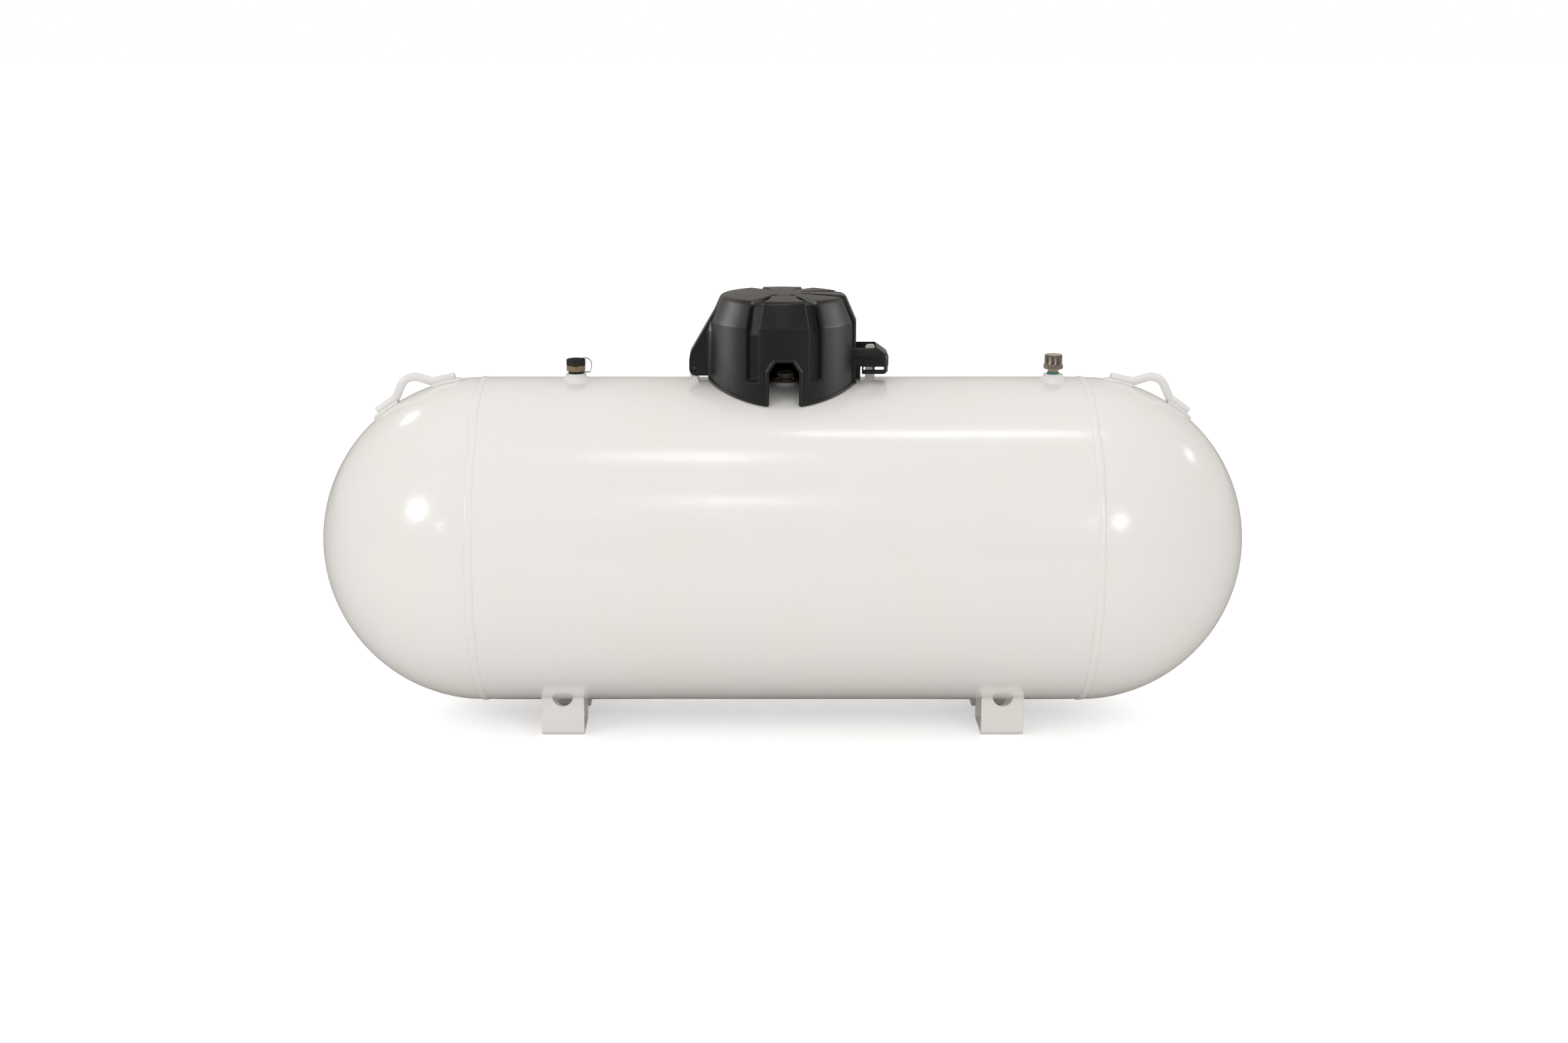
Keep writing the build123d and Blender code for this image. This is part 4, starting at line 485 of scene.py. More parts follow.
TANK_WHITE = (0.86, 0.842, 0.815)
PAINT = paint("tank_paint", TANK_WHITE, 0.20, peel=0.00016)
THICK_PAINT = paint("thick_paint", (0.82, 0.80, 0.785), 0.30, peel=0.0003, coat=0.35)
FOOT_PAINT = paint("foot_paint", (0.90, 0.88, 0.85), 0.42, peel=0.0002, speck=0.5, coat=0.1)
DOME_BLACK = plastic("dome_black", (0.0062, 0.0058, 0.0057), 0.37, spec=0.55)
BRASS = metal("brass", (0.62, 0.50, 0.33), 0.28, stain=(0.40, 0.33, 0.22))
BRASS_DULL = metal("brass_dull", (0.45, 0.37, 0.26), 0.42, stain=(0.22, 0.18, 0.13))
NICKEL = metal("nickel_tan", (0.55, 0.49, 0.40), 0.30, stain=(0.36, 0.31, 0.25))
STEEL = metal("steel", (0.52, 0.52, 0.51), 0.33)
BRIGHT = metal("steel_bright", (0.70, 0.70, 0.69), 0.18)
ALUMINIUM = metal("aluminium", (0.36, 0.31, 0.24), 0.5, stain=(0.22, 0.19, 0.14))
BLACK_RUBBER = rubber("black_rubber", (0.014, 0.013, 0.012))
GASKET = rubber("gasket_red", (0.22, 0.035, 0.02))
GREY_GASKET = rubber("gasket_grey", (0.06, 0.06, 0.06))
TEAL_SEAL = rubber("sealant_teal", (0.03, 0.28, 0.24), 0.5)
CAP_YELLOW = plastic("cap_yellow", (0.62, 0.42, 0.03), 0.38, grain=1100.0)
WHEEL_RED = plastic("wheel_red", (0.34, 0.02, 0.014), 0.35, grain=1200.0)
RAIN_CAP = plastic("rain_cap", (0.45, 0.40, 0.33), 0.5, grain=900.0)
FLOAT_GREY = rubber("float_grey", (0.10, 0.10, 0.11))
NEEDLE_RED = plastic("needle_red", (0.50, 0.02, 0.015), 0.4)


def dial_face(name):
    """Gauge face with tick marks round its edge, drawn from the angle about the dial's centre."""
    mat, tree, bsdf = shader(name, (0.75, 0.74, 0.70), 0.4)
    lo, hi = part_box("gauge_dial")
    mid = (lo + hi) / 2
    tex = tree.nodes.new("ShaderNodeTexCoord")
    shift = tree.nodes.new("ShaderNodeVectorMath")
    shift.operation = "SUBTRACT"
    shift.inputs[1].default_value = mid
    tree.links.new(tex.outputs["Object"], shift.inputs[0])
    sep = tree.nodes.new("ShaderNodeSeparateXYZ")
    tree.links.new(shift.outputs[0], sep.inputs[0])

    def node(op, a, b=None):
        n = tree.nodes.new("ShaderNodeMath")
        n.operation = op
        for socket, value in ((n.inputs[0], a), (n.inputs[1], b)):
            if value is None:
                continue
            if isinstance(value, (int, float)):
                socket.default_value = value
            else:
                tree.links.new(value, socket)
        return n.outputs[0]

    x, y = sep.outputs["X"], sep.outputs["Y"]
    angle = node("ARCTAN2", y, x)
    radius = node("SQRT", node("ADD", node("POWER", x, 2), node("POWER", y, 2)))
    phase = node("ABSOLUTE", node("SINE", node("MULTIPLY", angle, 18)))
    tick = node("LESS_THAN", phase, 0.16)
    line_r, tick_r, tick_end = 0.0141, 0.0145, 0.0175
    band = node("MULTIPLY", node("GREATER_THAN", radius, tick_r), node("LESS_THAN", radius, tick_end))
    ring = node("MULTIPLY", node("GREATER_THAN", radius, line_r), node("LESS_THAN", radius, tick_r))
    mask = node("MAXIMUM", node("MULTIPLY", tick, band), ring)
    dust = noise_node(tree, tex.outputs["Object"], 300.0, 4)
    face = mix_colour(tree, map_range(tree, dust, 0.4, 0.7), (0.70, 0.68, 0.62), (0.60, 0.57, 0.50))
    printed = mix_colour(tree, mask, face, (0.02, 0.02, 0.02))
    housing = node("GREATER_THAN", radius, 0.0186)
    worn = mix_colour(tree, map_range(tree, dust, 0.35, 0.7), (0.17, 0.14, 0.10), (0.24, 0.20, 0.15))
    feed(bsdf, Base_Color=mix_colour(tree, housing, printed, worn))
    return mat


def glass(name):
    """Scuffed clear lens."""
    mat, tree, bsdf = shader(name, (0.93, 0.95, 0.93), 0.06)
    scuff = noise_node(tree, coords(tree), 120.0, 5, 0.7)
    feed(bsdf, Transmission_Weight=1.0, Roughness=map_range(tree, scuff, 0.35, 0.75, 0.03, 0.22))
    return mat


DIAL = dial_face("dial_face")
LENS = glass("gauge_lens_clear")


def coat_with(obj, material):
    """Gives a piece its only material."""
    obj.data.materials.clear()
    obj.data.materials.append(material)


def put(obj, body, node, material):
    """Gives a piece its finish and its body and hides the CAD node it stands for."""
    coat_with(obj, material)
    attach(obj, body)
    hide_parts(node)


# ==== vessel skins
def shell_wave(x, angle):
    """Slight unevenness of rolled and welded plate, in millimetres."""
    wave = 0.55 * noise(np.stack([x / 260, 2.1 * np.cos(angle), 2.1 * np.sin(angle)], -1), 3)
    wave += 0.10 * noise(np.stack([x / 90, 5 * np.cos(angle), 5 * np.sin(angle)], -1), 9)
    return wave - weld_sink(x)


def weld_sink(x):
    """How far the plate has drawn in beside a girth weld."""
    deepest, reach = 0.9, 28.0
    return deepest * np.exp(-(((np.abs(x) - TANGENT) / reach) ** 2))


SEGMENTS = 480
SHELL_PLATE, HEAD_PLATE = 5.2, 4.2  # thicknesses
ROOT_GAP = 1.5  # between the shell's end and the middle of the weld
xs = np.linspace(-TANGENT + ROOT_GAP, TANGENT - ROOT_GAP, 190)
aa, xx = np.meshgrid(turn(SEGMENTS), xs, indexing="ij")
rr = R_OUT + shell_wave(xx, aa)
layers = [np.stack([xx, r * np.cos(aa), AXIS + r * np.sin(aa)], -1) for r in (rr, rr - SHELL_PLATE)]
shell = skin("shell_plate", np.concatenate([layers[0], layers[1][:, ::-1]], 1))
put(shell, "tank", "shell", PAINT)

for side, name in ((-1, "left"), (1, "right")):
    aa, t = np.meshgrid(turn(SEGMENTS), np.linspace(0, math.pi / 2 - 0.002, 110), indexing="ij")
    xx, base = side * (HEAD_X + R_OUT * np.sin(t)), R_OUT * np.cos(t)
    where = np.stack([xx / 210, base * np.cos(aa) / 210, base * np.sin(aa) / 210], -1)
    wave = 0.5 * noise(where, 7 + side)
    k = 1 + (wave - weld_sink(xx)) / R_OUT
    cx = side * HEAD_X
    dx, rr = (xx - cx) * k, base * k
    layers = []
    for depth in (0.0, HEAD_PLATE):
        f = 1 - depth / R_OUT
        layers.append(np.stack([cx + dx * f, rr * f * np.cos(aa), AXIS + rr * f * np.sin(aa)], -1))
    head = clean(skin("head_" + name + "_plate", np.concatenate([layers[0], layers[1][:, ::-1]], 1)), 1e-4)
    head.data.shade_smooth()
    put(head, "tank", "head_" + name, PAINT)


def strip_bead(points, outward, width, height, seed, pitch, wander=1.2):
    """Grid of a flat cap weld along points, each with its outward direction on the surface."""
    tangent = np.roll(points, -1, 0) - np.roll(points, 1, 0)
    tangent /= np.linalg.norm(tangent, axis=1)[:, None]
    across = np.cross(tangent, outward)
    s = np.concatenate([[0], np.cumsum(np.linalg.norm(np.diff(points, axis=0), axis=1))])
    where = points / 40
    drift = noise(where, seed) * wander
    swell = 1 + 0.10 * noise(where * 2.3, seed + 1)
    rows = []
    for kk in np.linspace(-1, 1, 15):
        chevron = s + 5.0 * kk * kk + 1.5 * drift
        ripple = 0.22 * np.sin(2 * math.pi * chevron / pitch) * (1 - kk * kk)
        h = height * swell * (1 - abs(kk) ** 2.6) + ripple
        h = np.where(abs(kk) > 0.999, -1.2, np.maximum(h, -0.3))
        rows.append(points + across * (kk * width / 2 * swell + drift)[:, None] + outward * h[:, None])
    rows.append(points - outward * 3.0)
    return np.stack(rows, 1)


beads = []
a = turn(1800)
out = np.stack([0 * a, np.cos(a), np.sin(a)], 1)
for side in (-1, 1):
    centre = np.array([side * (TANGENT + 0.75), 0, AXIS]) + out * (R_OUT - 0.6)
    beads.append(skin("girth", strip_bead(centre, out, BEAD_W, 1.9, 11 + side, 5.5)))
girth = join("girth_beads", beads)
put(girth, "tank", "girth_welds", PAINT)

seam_angle = math.radians(-20)
seam_x = np.arange(-TANGENT + 11, TANGENT - 11, 1.2)
out = np.array([[0, math.cos(seam_angle), math.sin(seam_angle)]] * len(seam_x))
line = np.stack([seam_x, np.zeros(len(seam_x)), np.full(len(seam_x), AXIS)], 1) + out * (R_OUT - 0.3)
seam = skin("long_seam_bead", strip_bead(line, out, 12.0, 1.7, 23, 4.5, wander=0.6), wrap_u=False)
put(seam, "tank", "long_weld", PAINT)


# ==== lifting lugs
LUG_TILT = math.radians(24.25)
LUG_R = 10.5
lug_objs, bead_objs = [], []


def resting(u):
    """Height of the bar's axis above the head when it lies on it, at u along from the bar's middle."""
    return math.sqrt((R_OUT + LUG_R) ** 2 - u * u) - R_OUT + 1.0


for side in (-1, 1):
    along = np.array([side * math.cos(LUG_TILT), 0, -math.sin(LUG_TILT)])
    outd = np.array([side * math.sin(LUG_TILT), 0, math.cos(LUG_TILT)])
    centre = np.array([side * HEAD_X, 0, AXIS])

    corners = [(-106, resting(106)), (-50, resting(50)), (0, 53.3), (50, resting(50)), (106, resting(106))]
    path = resample(fillet_path(corners, [25, 40, 25], 24), 3.0)
    world = centre + path[:, :1] * along + (R_OUT + path[:, 1:]) * outd
    where = np.stack([path[:, 0] / 30, path[:, 1] / 30, np.full(len(path), side * 4.0)], 1)
    swell = 1 + 0.02 * noise(where, 31)

    def bar_section(i, _):
        inset = 1.0 if 0 < i < len(path) - 1 else 0.86
        return ring_section(LUG_R * swell[i] * inset, 32)

    lug_objs.append(sweep("bar", world, bar_section, (0, 1, 0)))
    # U-shaped bead down one side of each foot, round its end and back.
    for end in (-1, 1):
        inner_u, outer_u, half = end * 48.0, end * 113.0, 11.8
        loop = [(inner_u, half), (outer_u, half), (outer_u, -half), (inner_u, -half)]
        flat = resample(fillet_path(loop, 9.0, 10), 1.5)
        r_here = R_OUT + 1.6
        v = np.sqrt(r_here**2 - flat[:, 0] ** 2 - flat[:, 1] ** 2)
        line = centre + flat[:, :1] * along + v[:, None] * outd + flat[:, 1:] * np.array([0, 1.0, 0])
        seed = 40 + side * 3 + end
        bead_objs.append(weld_bead("lug_bead", line, 7.0, lambda p, c=centre: p - c, seed, pitch=6.5))
lug = join("lug_bars", lug_objs)
crease(lug, 50)
put(lug, "tank", "lugs", THICK_PAINT)

# ==== feet
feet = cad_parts["feet"]
weld_mod = feet.modifiers.new("weld", "WELD")
weld_mod.merge_threshold = 1e-5
bevel(feet, 1.0, 3, 30)
coat_with(feet, FOOT_PAINT)

FOOT_W = 104.0
INNER_Y = 45.0  # inner face of a foot
foot_x, foot_y, _ = span("feet")[1]
foot_x -= FOOT_W / 2
for x_side in (-1, 1):
    for y_side in (-1, 1):
        for face_y, sign in ((foot_y, 1), (INNER_Y, -1)):
            for half in (-1, 1):
                y = y_side * (face_y + sign * 0.5)
                z = AXIS - math.sqrt(R_OUT**2 - y * y) - 1.2
                x0 = x_side * foot_x + half * 25.5
                x1 = x_side * foot_x + half * (FOOT_W / 2 - 1)
                line = np.array([[x0, y, z], [x1, y, z]], float)
                up = (0, y_side * sign * 0.7, -1)
                seed = 60 + x_side * 7 + y_side * 5 + sign * 3 + half
                bead_objs.append(weld_bead("foot_bead", line, 4.6, up, seed))
beads = join("attachment_beads", bead_objs)
crease(beads, 60)
put(beads, "tank", "attachment_welds", THICK_PAINT)

# ==== couplings with their welded flares
def saddle_drop(y):
    """How far the shell's surface lies below TOP at y."""
    return R_OUT - np.sqrt(R_OUT**2 - np.clip(np.abs(y), 0, R_OUT - 1) ** 2)


def flare(name, reach, height, lumps, seed):
    """Weld round a coupling: concave flare from the boss down to the saddle, with ripples."""
    cx, cy, outer, _ = upright("coupling_" + name)
    a = turn(288)
    aa, kk = np.meshgrid(a, np.linspace(0, 1, 22), indexing="ij")
    where = np.stack([3 * np.cos(aa), 3 * np.sin(aa), kk * 2.0], -1)
    coarse = noise(where, seed)
    fine = noise(where * 4.0, seed + 2)
    edge = reach * (1 + 0.06 * lumps * noise(np.stack([2 * np.cos(a), 2 * np.sin(a), a * 0], 1), seed + 4))
    r = outer - 0.4 + (edge[:, None] - outer + 0.4) * kk
    z = height * (1 - kk) ** 1.7
    passes = np.abs(np.sin(math.pi * (kk * 3 + 0.1 * coarse)))
    ripple = np.sin(a * 2 * math.pi * reach / 6.0 / (2 * math.pi))[:, None] * np.sin(math.pi * kk)
    rough = 0.55 * coarse + 0.35 * fine + 0.5 * (passes - 0.5) + 0.22 * ripple
    z = z + lumps * rough * np.sin(math.pi * np.clip(kk, 0.02, 1)) ** 0.6
    x, y = cx + r * np.cos(aa), cy + r * np.sin(aa)
    top = np.stack([x, y, TOP - saddle_drop(y) + z], -1)
    below = np.stack([x, y, TOP - saddle_drop(y) - 2.0 + 0 * z], -1)[:, ::-1]
    return skin("flare", np.concatenate([top, below], 1))


flares = [
    flare("liquid", 35.5, 9.5, 1.5, 71),
    flare("relief", 33.5, 9.0, 0.55, 72),
    flare("fill", 37.5, 9.0, 1.0, 73),
    flare("service", 26.5, 9.0, 1.0, 74),
    flare("gauge", 34.5, 2.5, 0.4, 75),
]
# Beads along the hasp and the hinge bracket.
for node in ("hasp", "hinge_bracket"):
    (x0, _, _), (x1, face, _) = span(node)
    for y_side in (-1, 1):
        y = y_side * (face + 1.0)
        z = TOP - float(saddle_drop(y)) + 0.6
        line = np.array([[x0 - 1, y, z], [x1 + 1, y, z]], float)
        flares.append(weld_bead("bead", line, 3.2, (0, y_side, 1), seed=int(80 + y_side + face), pitch=5.0))
welds = join("fitting_beads", flares)
crease(welds, 60)
put(welds, "tank", "fitting_welds", THICK_PAINT)

for name, bore in (("liquid", 17.5), ("relief", 14.5), ("fill", 20.5), ("service", 13.3)):
    cx, cy, outer, stand = upright("coupling_" + name)
    prof = [(bore, -26), (outer, -26), (outer, stand), (bore, stand), (bore, -26)]
    prof = fillet_path(prof, [0.5, 2.2, 1.2], 5)

    def uneven(r, h, a):
        """Lumps on the outside of a boss, different for each name."""
        seed = sum(map(ord, name))
        amount = 0.35 * noise(np.stack([3 * np.cos(a), 3 * np.sin(a), h / 9 + seed], -1), 5)
        return r + np.where(r > outer - 3, amount, 0), h

    obj = lathe("boss_" + name, prof, (cx, cy, TOP), 128, radius_fn=uneven)
    put(obj, "tank", "coupling_" + name, THICK_PAINT)


# ==== dome
DOME_R = 178.0
PANEL_TOP, FLOOR_TOP = 208, 199  # heights above TOP of the panels and of the channels' floor
SHOULDER = 147  # height where the slope meets the wall
DRAFT = 0.0031  # the wall widens this much for each millimetre down
RIM_R, RIM_IN_R = 178.5, 167.0  # the wall and the channels' floor at the rim
RIM_Z = 12.0
NOTCH_TOP, NOTCH_SHOULDER = 68.0, 44.0  # heights of the front opening
NOTCH_TOP_HALF, NOTCH_HALF = 19.0, 35.0  # half widths at those heights
FRONT_LEFT = -25.0
CHANNEL_AT = (-155.0, FRONT_LEFT, 25.0, 73.0, 113.5, 155.0)
CHANNEL_HALF = 16.5
CHANNEL_SLOPE = 4.6
GUARD_CHANNELS = (73.0, 113.5)  # these two stop above the latch guard
CHANNEL_END, GUARD_CHANNEL_END = 17.5, 78.0  # heights of the channels' lower ends
LIP, LIP_INNER, LIP_OUTER = 4.0, 6.0, 7.6  # height of the lip and the two ends of its step
TOP_EDGE_R = 150.0  # inside this radius the channels narrow towards the middle
FOLLOW = 17.6
HUB_R = 46.0
SADDLE_R = 402.0
ARCH_START, ARCH_HALF = 90.0, 31.0
CROWN, CROWN_R = 3.4, 142.0


def both_paths():
    """Radius and height of the dome's rows, from the middle of the top down the wall.

    Gives the panels' rows, the channel floor's rows and the number of the first row on the wall.
    """
    outer = [(134, PANEL_TOP), (151, PANEL_TOP), (DOME_R, SHOULDER), (178.2, 100)]
    inner = [(134, FLOOR_TOP), (142, FLOOR_TOP), (166.5, 130), (166.7, 100)]
    outer, inner = fillet_path(outer, [14, 6], 8), fillet_path(inner, [5, 4], 8)
    n = 9  # points of one rounded corner

    def stretch(p):
        """Adds rows to the straight slope between the two corners."""
        top, arc1, arc2 = p[:1], p[1 : 1 + n], p[1 + n : 1 + 2 * n]
        slope = [arc1[-1] + (arc2[0] - arc1[-1]) * k / 9 for k in range(1, 9)]
        return np.concatenate([top, arc1, slope, arc2])

    flat = [0, 15, 30, 38, 42, 43.6, 44.6, 45.6, 46.6, 47.6] + list(np.linspace(49, 131, 38))
    out = np.concatenate([[(r, PANEL_TOP) for r in flat], stretch(outer)])
    inn = np.concatenate([[(r, FLOOR_TOP) for r in flat], stretch(inner)])
    start_out, start_in = out[-1][1], inn[-1][1]
    fine_top = [79, 77.6, 76.6, 75.8, 75.2, 74.7, 74.1, 73, 71.5, 70, 69, 68.3, 68]
    lower = [66, 63, 60, 56, 52, 48, 44, 40, 36, 32, 28.5, 26.5, 25.3]
    lower += [24.3, 23, 21.5, 20, 18.8, 17.8, 17, 16, 14, 12]
    level = 90  # from here down both surfaces share their heights
    wall = list(np.linspace(start_out, level, 8)[1:]) + [86, 84, 82] + fine_top + lower
    wall = np.array(wall, float)
    squeeze = (start_in - level) / (start_out - level)
    wall_in = np.where(wall > level, level + (wall - level) * squeeze, wall)
    widening = (SHOULDER - wall) * DRAFT
    out = np.concatenate([out, np.stack([DOME_R + widening, wall], 1)])
    inn = np.concatenate([inn, np.stack([166.5 + widening, wall_in], 1)])
    return out, inn, len(out) - len(wall)


OUT_ROWS, IN_ROWS, WALL_AT = both_paths()
# Distances of the fine rows and columns that carry the lip from the edge it follows.
EDGE_OFFSETS = np.array([0.0, 0.3, 0.7, 1.4, 2.6, 4.0, 5.2, 6.1, 6.7, 7.1, 7.5, 8.0, 8.7, 9.6])
RIM_OFFSETS = EDGE_OFFSETS[::-1]
BELOW = 7  # rows between RIM_Z and the rim's fine rows
tail = BELOW + len(RIM_OFFSETS)
row_r = np.concatenate([OUT_ROWS[:, 0], np.full(tail, RIM_R)])
row_z = np.concatenate([OUT_ROWS[:, 1], np.full(tail, RIM_Z)])
rows_n = len(row_r)
first = rows_n - tail
on_wall = np.arange(rows_n) >= WALL_AT


def channel_phi(centre, t):
    """Azimuth of a line along a channel at every row: parallel on the wall, radial on the top."""
    r = np.maximum(row_r, TOP_EDGE_R)
    return math.radians(centre) + np.arcsin(np.clip(t / r, -1, 1))


columns, at_opening = [], []


def add_column(azimuths, opening=False):
    """Adds a column of the dome; opening says whether it crosses or borders the front opening."""
    columns.append(azimuths)
    at_opening.append(opening)


def front_panel(left, right):
    """Columns between two channels that follow the sides of the front opening."""
    # Below the opening's shoulder it keeps its full width, also on the rows of the rim.
    heights = np.append(row_z[:first], np.zeros(tail))
    half = np.interp(heights, [NOTCH_SHOULDER, NOTCH_TOP], [NOTCH_HALF, NOTCH_TOP_HALF])
    wall_r, wall_right = row_r[WALL_AT], right[WALL_AT]
    outer = half + EDGE_OFFSETS[-1]
    side = [(half * k, True) for k in (0, 0.25, 0.5, 0.75)]
    side += [(half + o, o == 0) for o in EDGE_OFFSETS]
    side += [(outer + (wall_r * math.sin(wall_right) - outer) * s, False) for s in (0.3, 0.55, 0.8)]
    add_column(left)
    for sign, (x, opening) in [(-1, s) for s in side[:0:-1]] + [(1, s) for s in side]:
        on_top = math.asin(x[WALL_AT] / wall_r) / wall_right * right
        azimuths = np.where(on_wall, np.arcsin(np.clip(x / np.maximum(row_r, 60), -1, 1)), on_top)
        add_column(sign * azimuths, opening)
    add_column(right)


half_t = [0, 1.5, 3, 4.5, 6, 7.5, 9, 10, 10.9, 11.7, 12.4, 13.2, 14.1, 15.0, 15.8, 16.3, 16.8]
for centre, following in zip(CHANNEL_AT, CHANNEL_AT[1:] + (CHANNEL_AT[0] + 360,)):
    for t in sorted({-t for t in half_t} | set(half_t)):
        add_column(channel_phi(centre, t))
    left = channel_phi(centre, FOLLOW)
    right = channel_phi(following, -FOLLOW)
    if centre == FRONT_LEFT:
        front_panel(left, right)
    else:
        steps = max(12, round((following - centre) / 3))
        for k in range(steps + 1):
            add_column(left + (right - left) * k / steps)

phi = np.stack(columns, 1)
cols_n = phi.shape[1]


def all_columns(rows):
    return np.repeat(rows[:, None], cols_n, 1)


r_out, z_out = all_columns(row_r), all_columns(row_z)
# The wall below RIM_Z is spread down to the saddle-shaped rim, its corners at the opening rounded.
corner_r = 6.0
y_rim = -RIM_R * np.cos(phi[-1])
z_rim = np.sqrt(SADDLE_R**2 - y_rim**2) - R_OUT
x_rim = np.abs(RIM_R * np.sin(phi[-1]))
near = np.clip(corner_r - (x_rim - NOTCH_HALF), 0, corner_r)
near = near * (np.cos(phi[-1]) > 0.9) * (x_rim > NOTCH_HALF - 0.1)
z_rim = z_rim + (corner_r - np.sqrt(corner_r**2 - near**2))
for k in range(BELOW):
    f = (k + 1) / (BELOW + 1)
    z_out[first + k] = RIM_Z + (z_rim + RIM_OFFSETS[0] - RIM_Z) * f
for k, off in enumerate(RIM_OFFSETS):
    z_out[first + BELOW + k] = z_rim + off
r_in = all_columns(np.append(IN_ROWS[:, 0], np.full(tail, RIM_IN_R)))
z_in = all_columns(np.append(IN_ROWS[:, 1], np.zeros(tail)))
z_in[first:] = z_out[first:]

# Distance to the nearest channel's edge, below zero inside one.
FAR = 400.0
edge = None
for centre in CHANNEL_AT:
    delta = phi - math.radians(centre)
    t = np.maximum(r_out, TOP_EDGE_R) * np.sin(delta)
    d = np.where(np.cos(delta) > 0, np.abs(t) - CHANNEL_HALF, FAR)
    end = GUARD_CHANNEL_END if centre in GUARD_CHANNELS else CHANNEL_END
    floor_d = (end - z_out) * (CHANNEL_SLOPE / 7.0)
    d = -smooth_min(-d, -floor_d, 2.0)
    edge = d if edge is None else smooth_min(edge, d, 18.0)
# The front and rear panels end in an arch that reaches the hub.
across = np.abs(r_out * np.sin(phi))
along = np.abs(r_out * np.cos(phi))
reach = np.clip((ARCH_START - along) / (ARCH_START - HUB_R), 0, 1)
arch = ARCH_HALF * (1 - reach**3) ** (1 / 3)
arch_d = np.where((along < ARCH_START) & (along > HUB_R), arch - across, -60.0)
edge = -smooth_min(-edge, -arch_d, 2.0)
depth = ramp(-edge, 0.0, CHANNEL_SLOPE, 0.18)
depth = depth * ramp(r_out, 44.5, 49.0)
hub = 1 - ramp(r_out, 44.2, 47.4)
r_v = r_out + depth * (r_in - r_out)
crown_h = CROWN * np.clip(1 - (r_out / CROWN_R) ** 2, 0, 1) * ~on_wall[:, None]
z_v = z_out + depth * (z_in - z_out) + crown_h * (1 - hub) + 4.0 * hub

# Lip round the opening and along the rim.
def seg_dist(a, b):
    """Distance on the wall, mirrored about the middle of the front, to the line from a to b."""
    px, pz = np.abs(r_out * np.sin(phi)), z_out
    a, b = np.array(a, float), np.array(b, float)
    d = b - a
    t = np.clip(((px - a[0]) * d[0] + (pz - a[1]) * d[1]) / (d @ d), 0, 1)
    return np.hypot(px - a[0] - t * d[0], pz - a[1] - t * d[1])


opening = [(NOTCH_HALF, -60), (NOTCH_HALF, NOTCH_SHOULDER), (NOTCH_TOP_HALF, NOTCH_TOP), (0, NOTCH_TOP)]
notch_d = np.minimum.reduce([seg_dist(a, b) for a, b in zip(opening, opening[1:])])
notch_d = np.where(np.cos(phi) > 0.8, notch_d, 2 * FAR)
lip_d = smooth_min(notch_d, z_out - z_rim[None, :], 3.0)
lip_d = np.maximum(np.where(on_wall[:, None], lip_d, 2 * FAR), 0.0)
lip = LIP * (1 - ramp(lip_d, LIP_INNER, LIP_OUTER))
rounding = 1.3
rounded = rounding - np.sqrt(np.maximum(0, rounding**2 - (rounding - lip_d) ** 2))
lip = lip - np.where(lip_d < rounding, rounded, 0)
r_v = r_v + lip * on_wall[:, None]

# A slight unevenness of the moulding.
wob = np.stack([r_v * np.sin(phi) / 70, r_v * np.cos(phi) / 70, z_v / 70], -1)
r_v = r_v + 0.18 * noise(wob, 17) * (row_r[:, None] > 60)
pts = np.stack([r_v * np.sin(phi), -r_v * np.cos(phi), TOP + z_v], -1)
faces = quads(rows_n, cols_n, wrap_v=True)
row_i, col_i = np.divmod(faces[:, 0], cols_n)
at_opening = np.array(at_opening)
in_notch = (at_opening & np.roll(at_opening, -1))[col_i] & (row_z[row_i] <= NOTCH_TOP)
dome = make("dome_cover", pts.reshape(-1, 3), faces[~in_notch])
bm = bmesh.new()
bm.from_mesh(dome.data)
bmesh.ops.remove_doubles(bm, verts=bm.verts, dist=2e-6)
loose = [v for v in bm.verts if not v.link_faces]
bmesh.ops.delete(bm, geom=loose, context="VERTS")
bm.normal_update()
top_face = max(bm.faces, key=lambda f: f.calc_center_median().z)
if top_face.normal.z < 0:
    bmesh.ops.reverse_faces(bm, faces=bm.faces)
bm.to_mesh(dome.data)
bm.free()
solid = dome.modifiers.new("thickness", "SOLIDIFY")
solid.thickness = 3.5 * MM
solid.offset = -1
bake(dome)
crease(dome, 50)


# ---- latch guard
GUARD_X0 = 150.0
WALL_INSIDE = 176.4
LEG_X, LEG_LOW, LEG_HIGH = 176.0, -14.0, 42.0  # the guard's legs beside the wall


def guard_body(name, sections):
    """Tapering box; a section is its height above TOP, far x, half width and corner radius."""
    rows = []
    for z, x1, half_y, radius in sections:
        plan = box_outline(GUARD_X0, -half_y, x1, half_y, [0.5, radius, radius, 0.5], 7)
        rows.append(np.column_stack([plan, np.full(len(plan), TOP + z)]))
    return tube(name, rows, smooth=False)


def against_dome(obj, width):
    """Trims a moulding to the shell's saddle and the wall's inside, then rounds its edges."""
    cut(obj, rod("saddle", SADDLE_R, -600, 600, (0, 0, AXIS), 256, "x"))
    cut(obj, rod("inside", WALL_INSIDE, -80, 130, (0, 0, TOP), 192))
    bevel(obj, width, 3, 40)
    return crease(bake(obj), 45)


sections = [
    (-14, 253.6, 58.6, 15),
    (39.6, 253.6, 58.6, 15),
    (40.4, 255.0, 60.0, 16),
    (62.6, 255.0, 60.0, 16),
    (64.2, 254.6, 59.8, 16),
    (65.8, 253.4, 59.2, 15),
    (82.6, 229.6, 54.4, 7),
    (83.5, 228.2, 53.6, 6),
]
guard = guard_body("guard", sections)
sections = [(-20, 251.0, 56.0, 12.5), (61.6, 251.0, 56.0, 12.5)]
sections += [(63.4, 250.2, 55.6, 12), (84.5, 224.6, 50.4, 4)]
cut(guard, guard_body("hollow", sections))


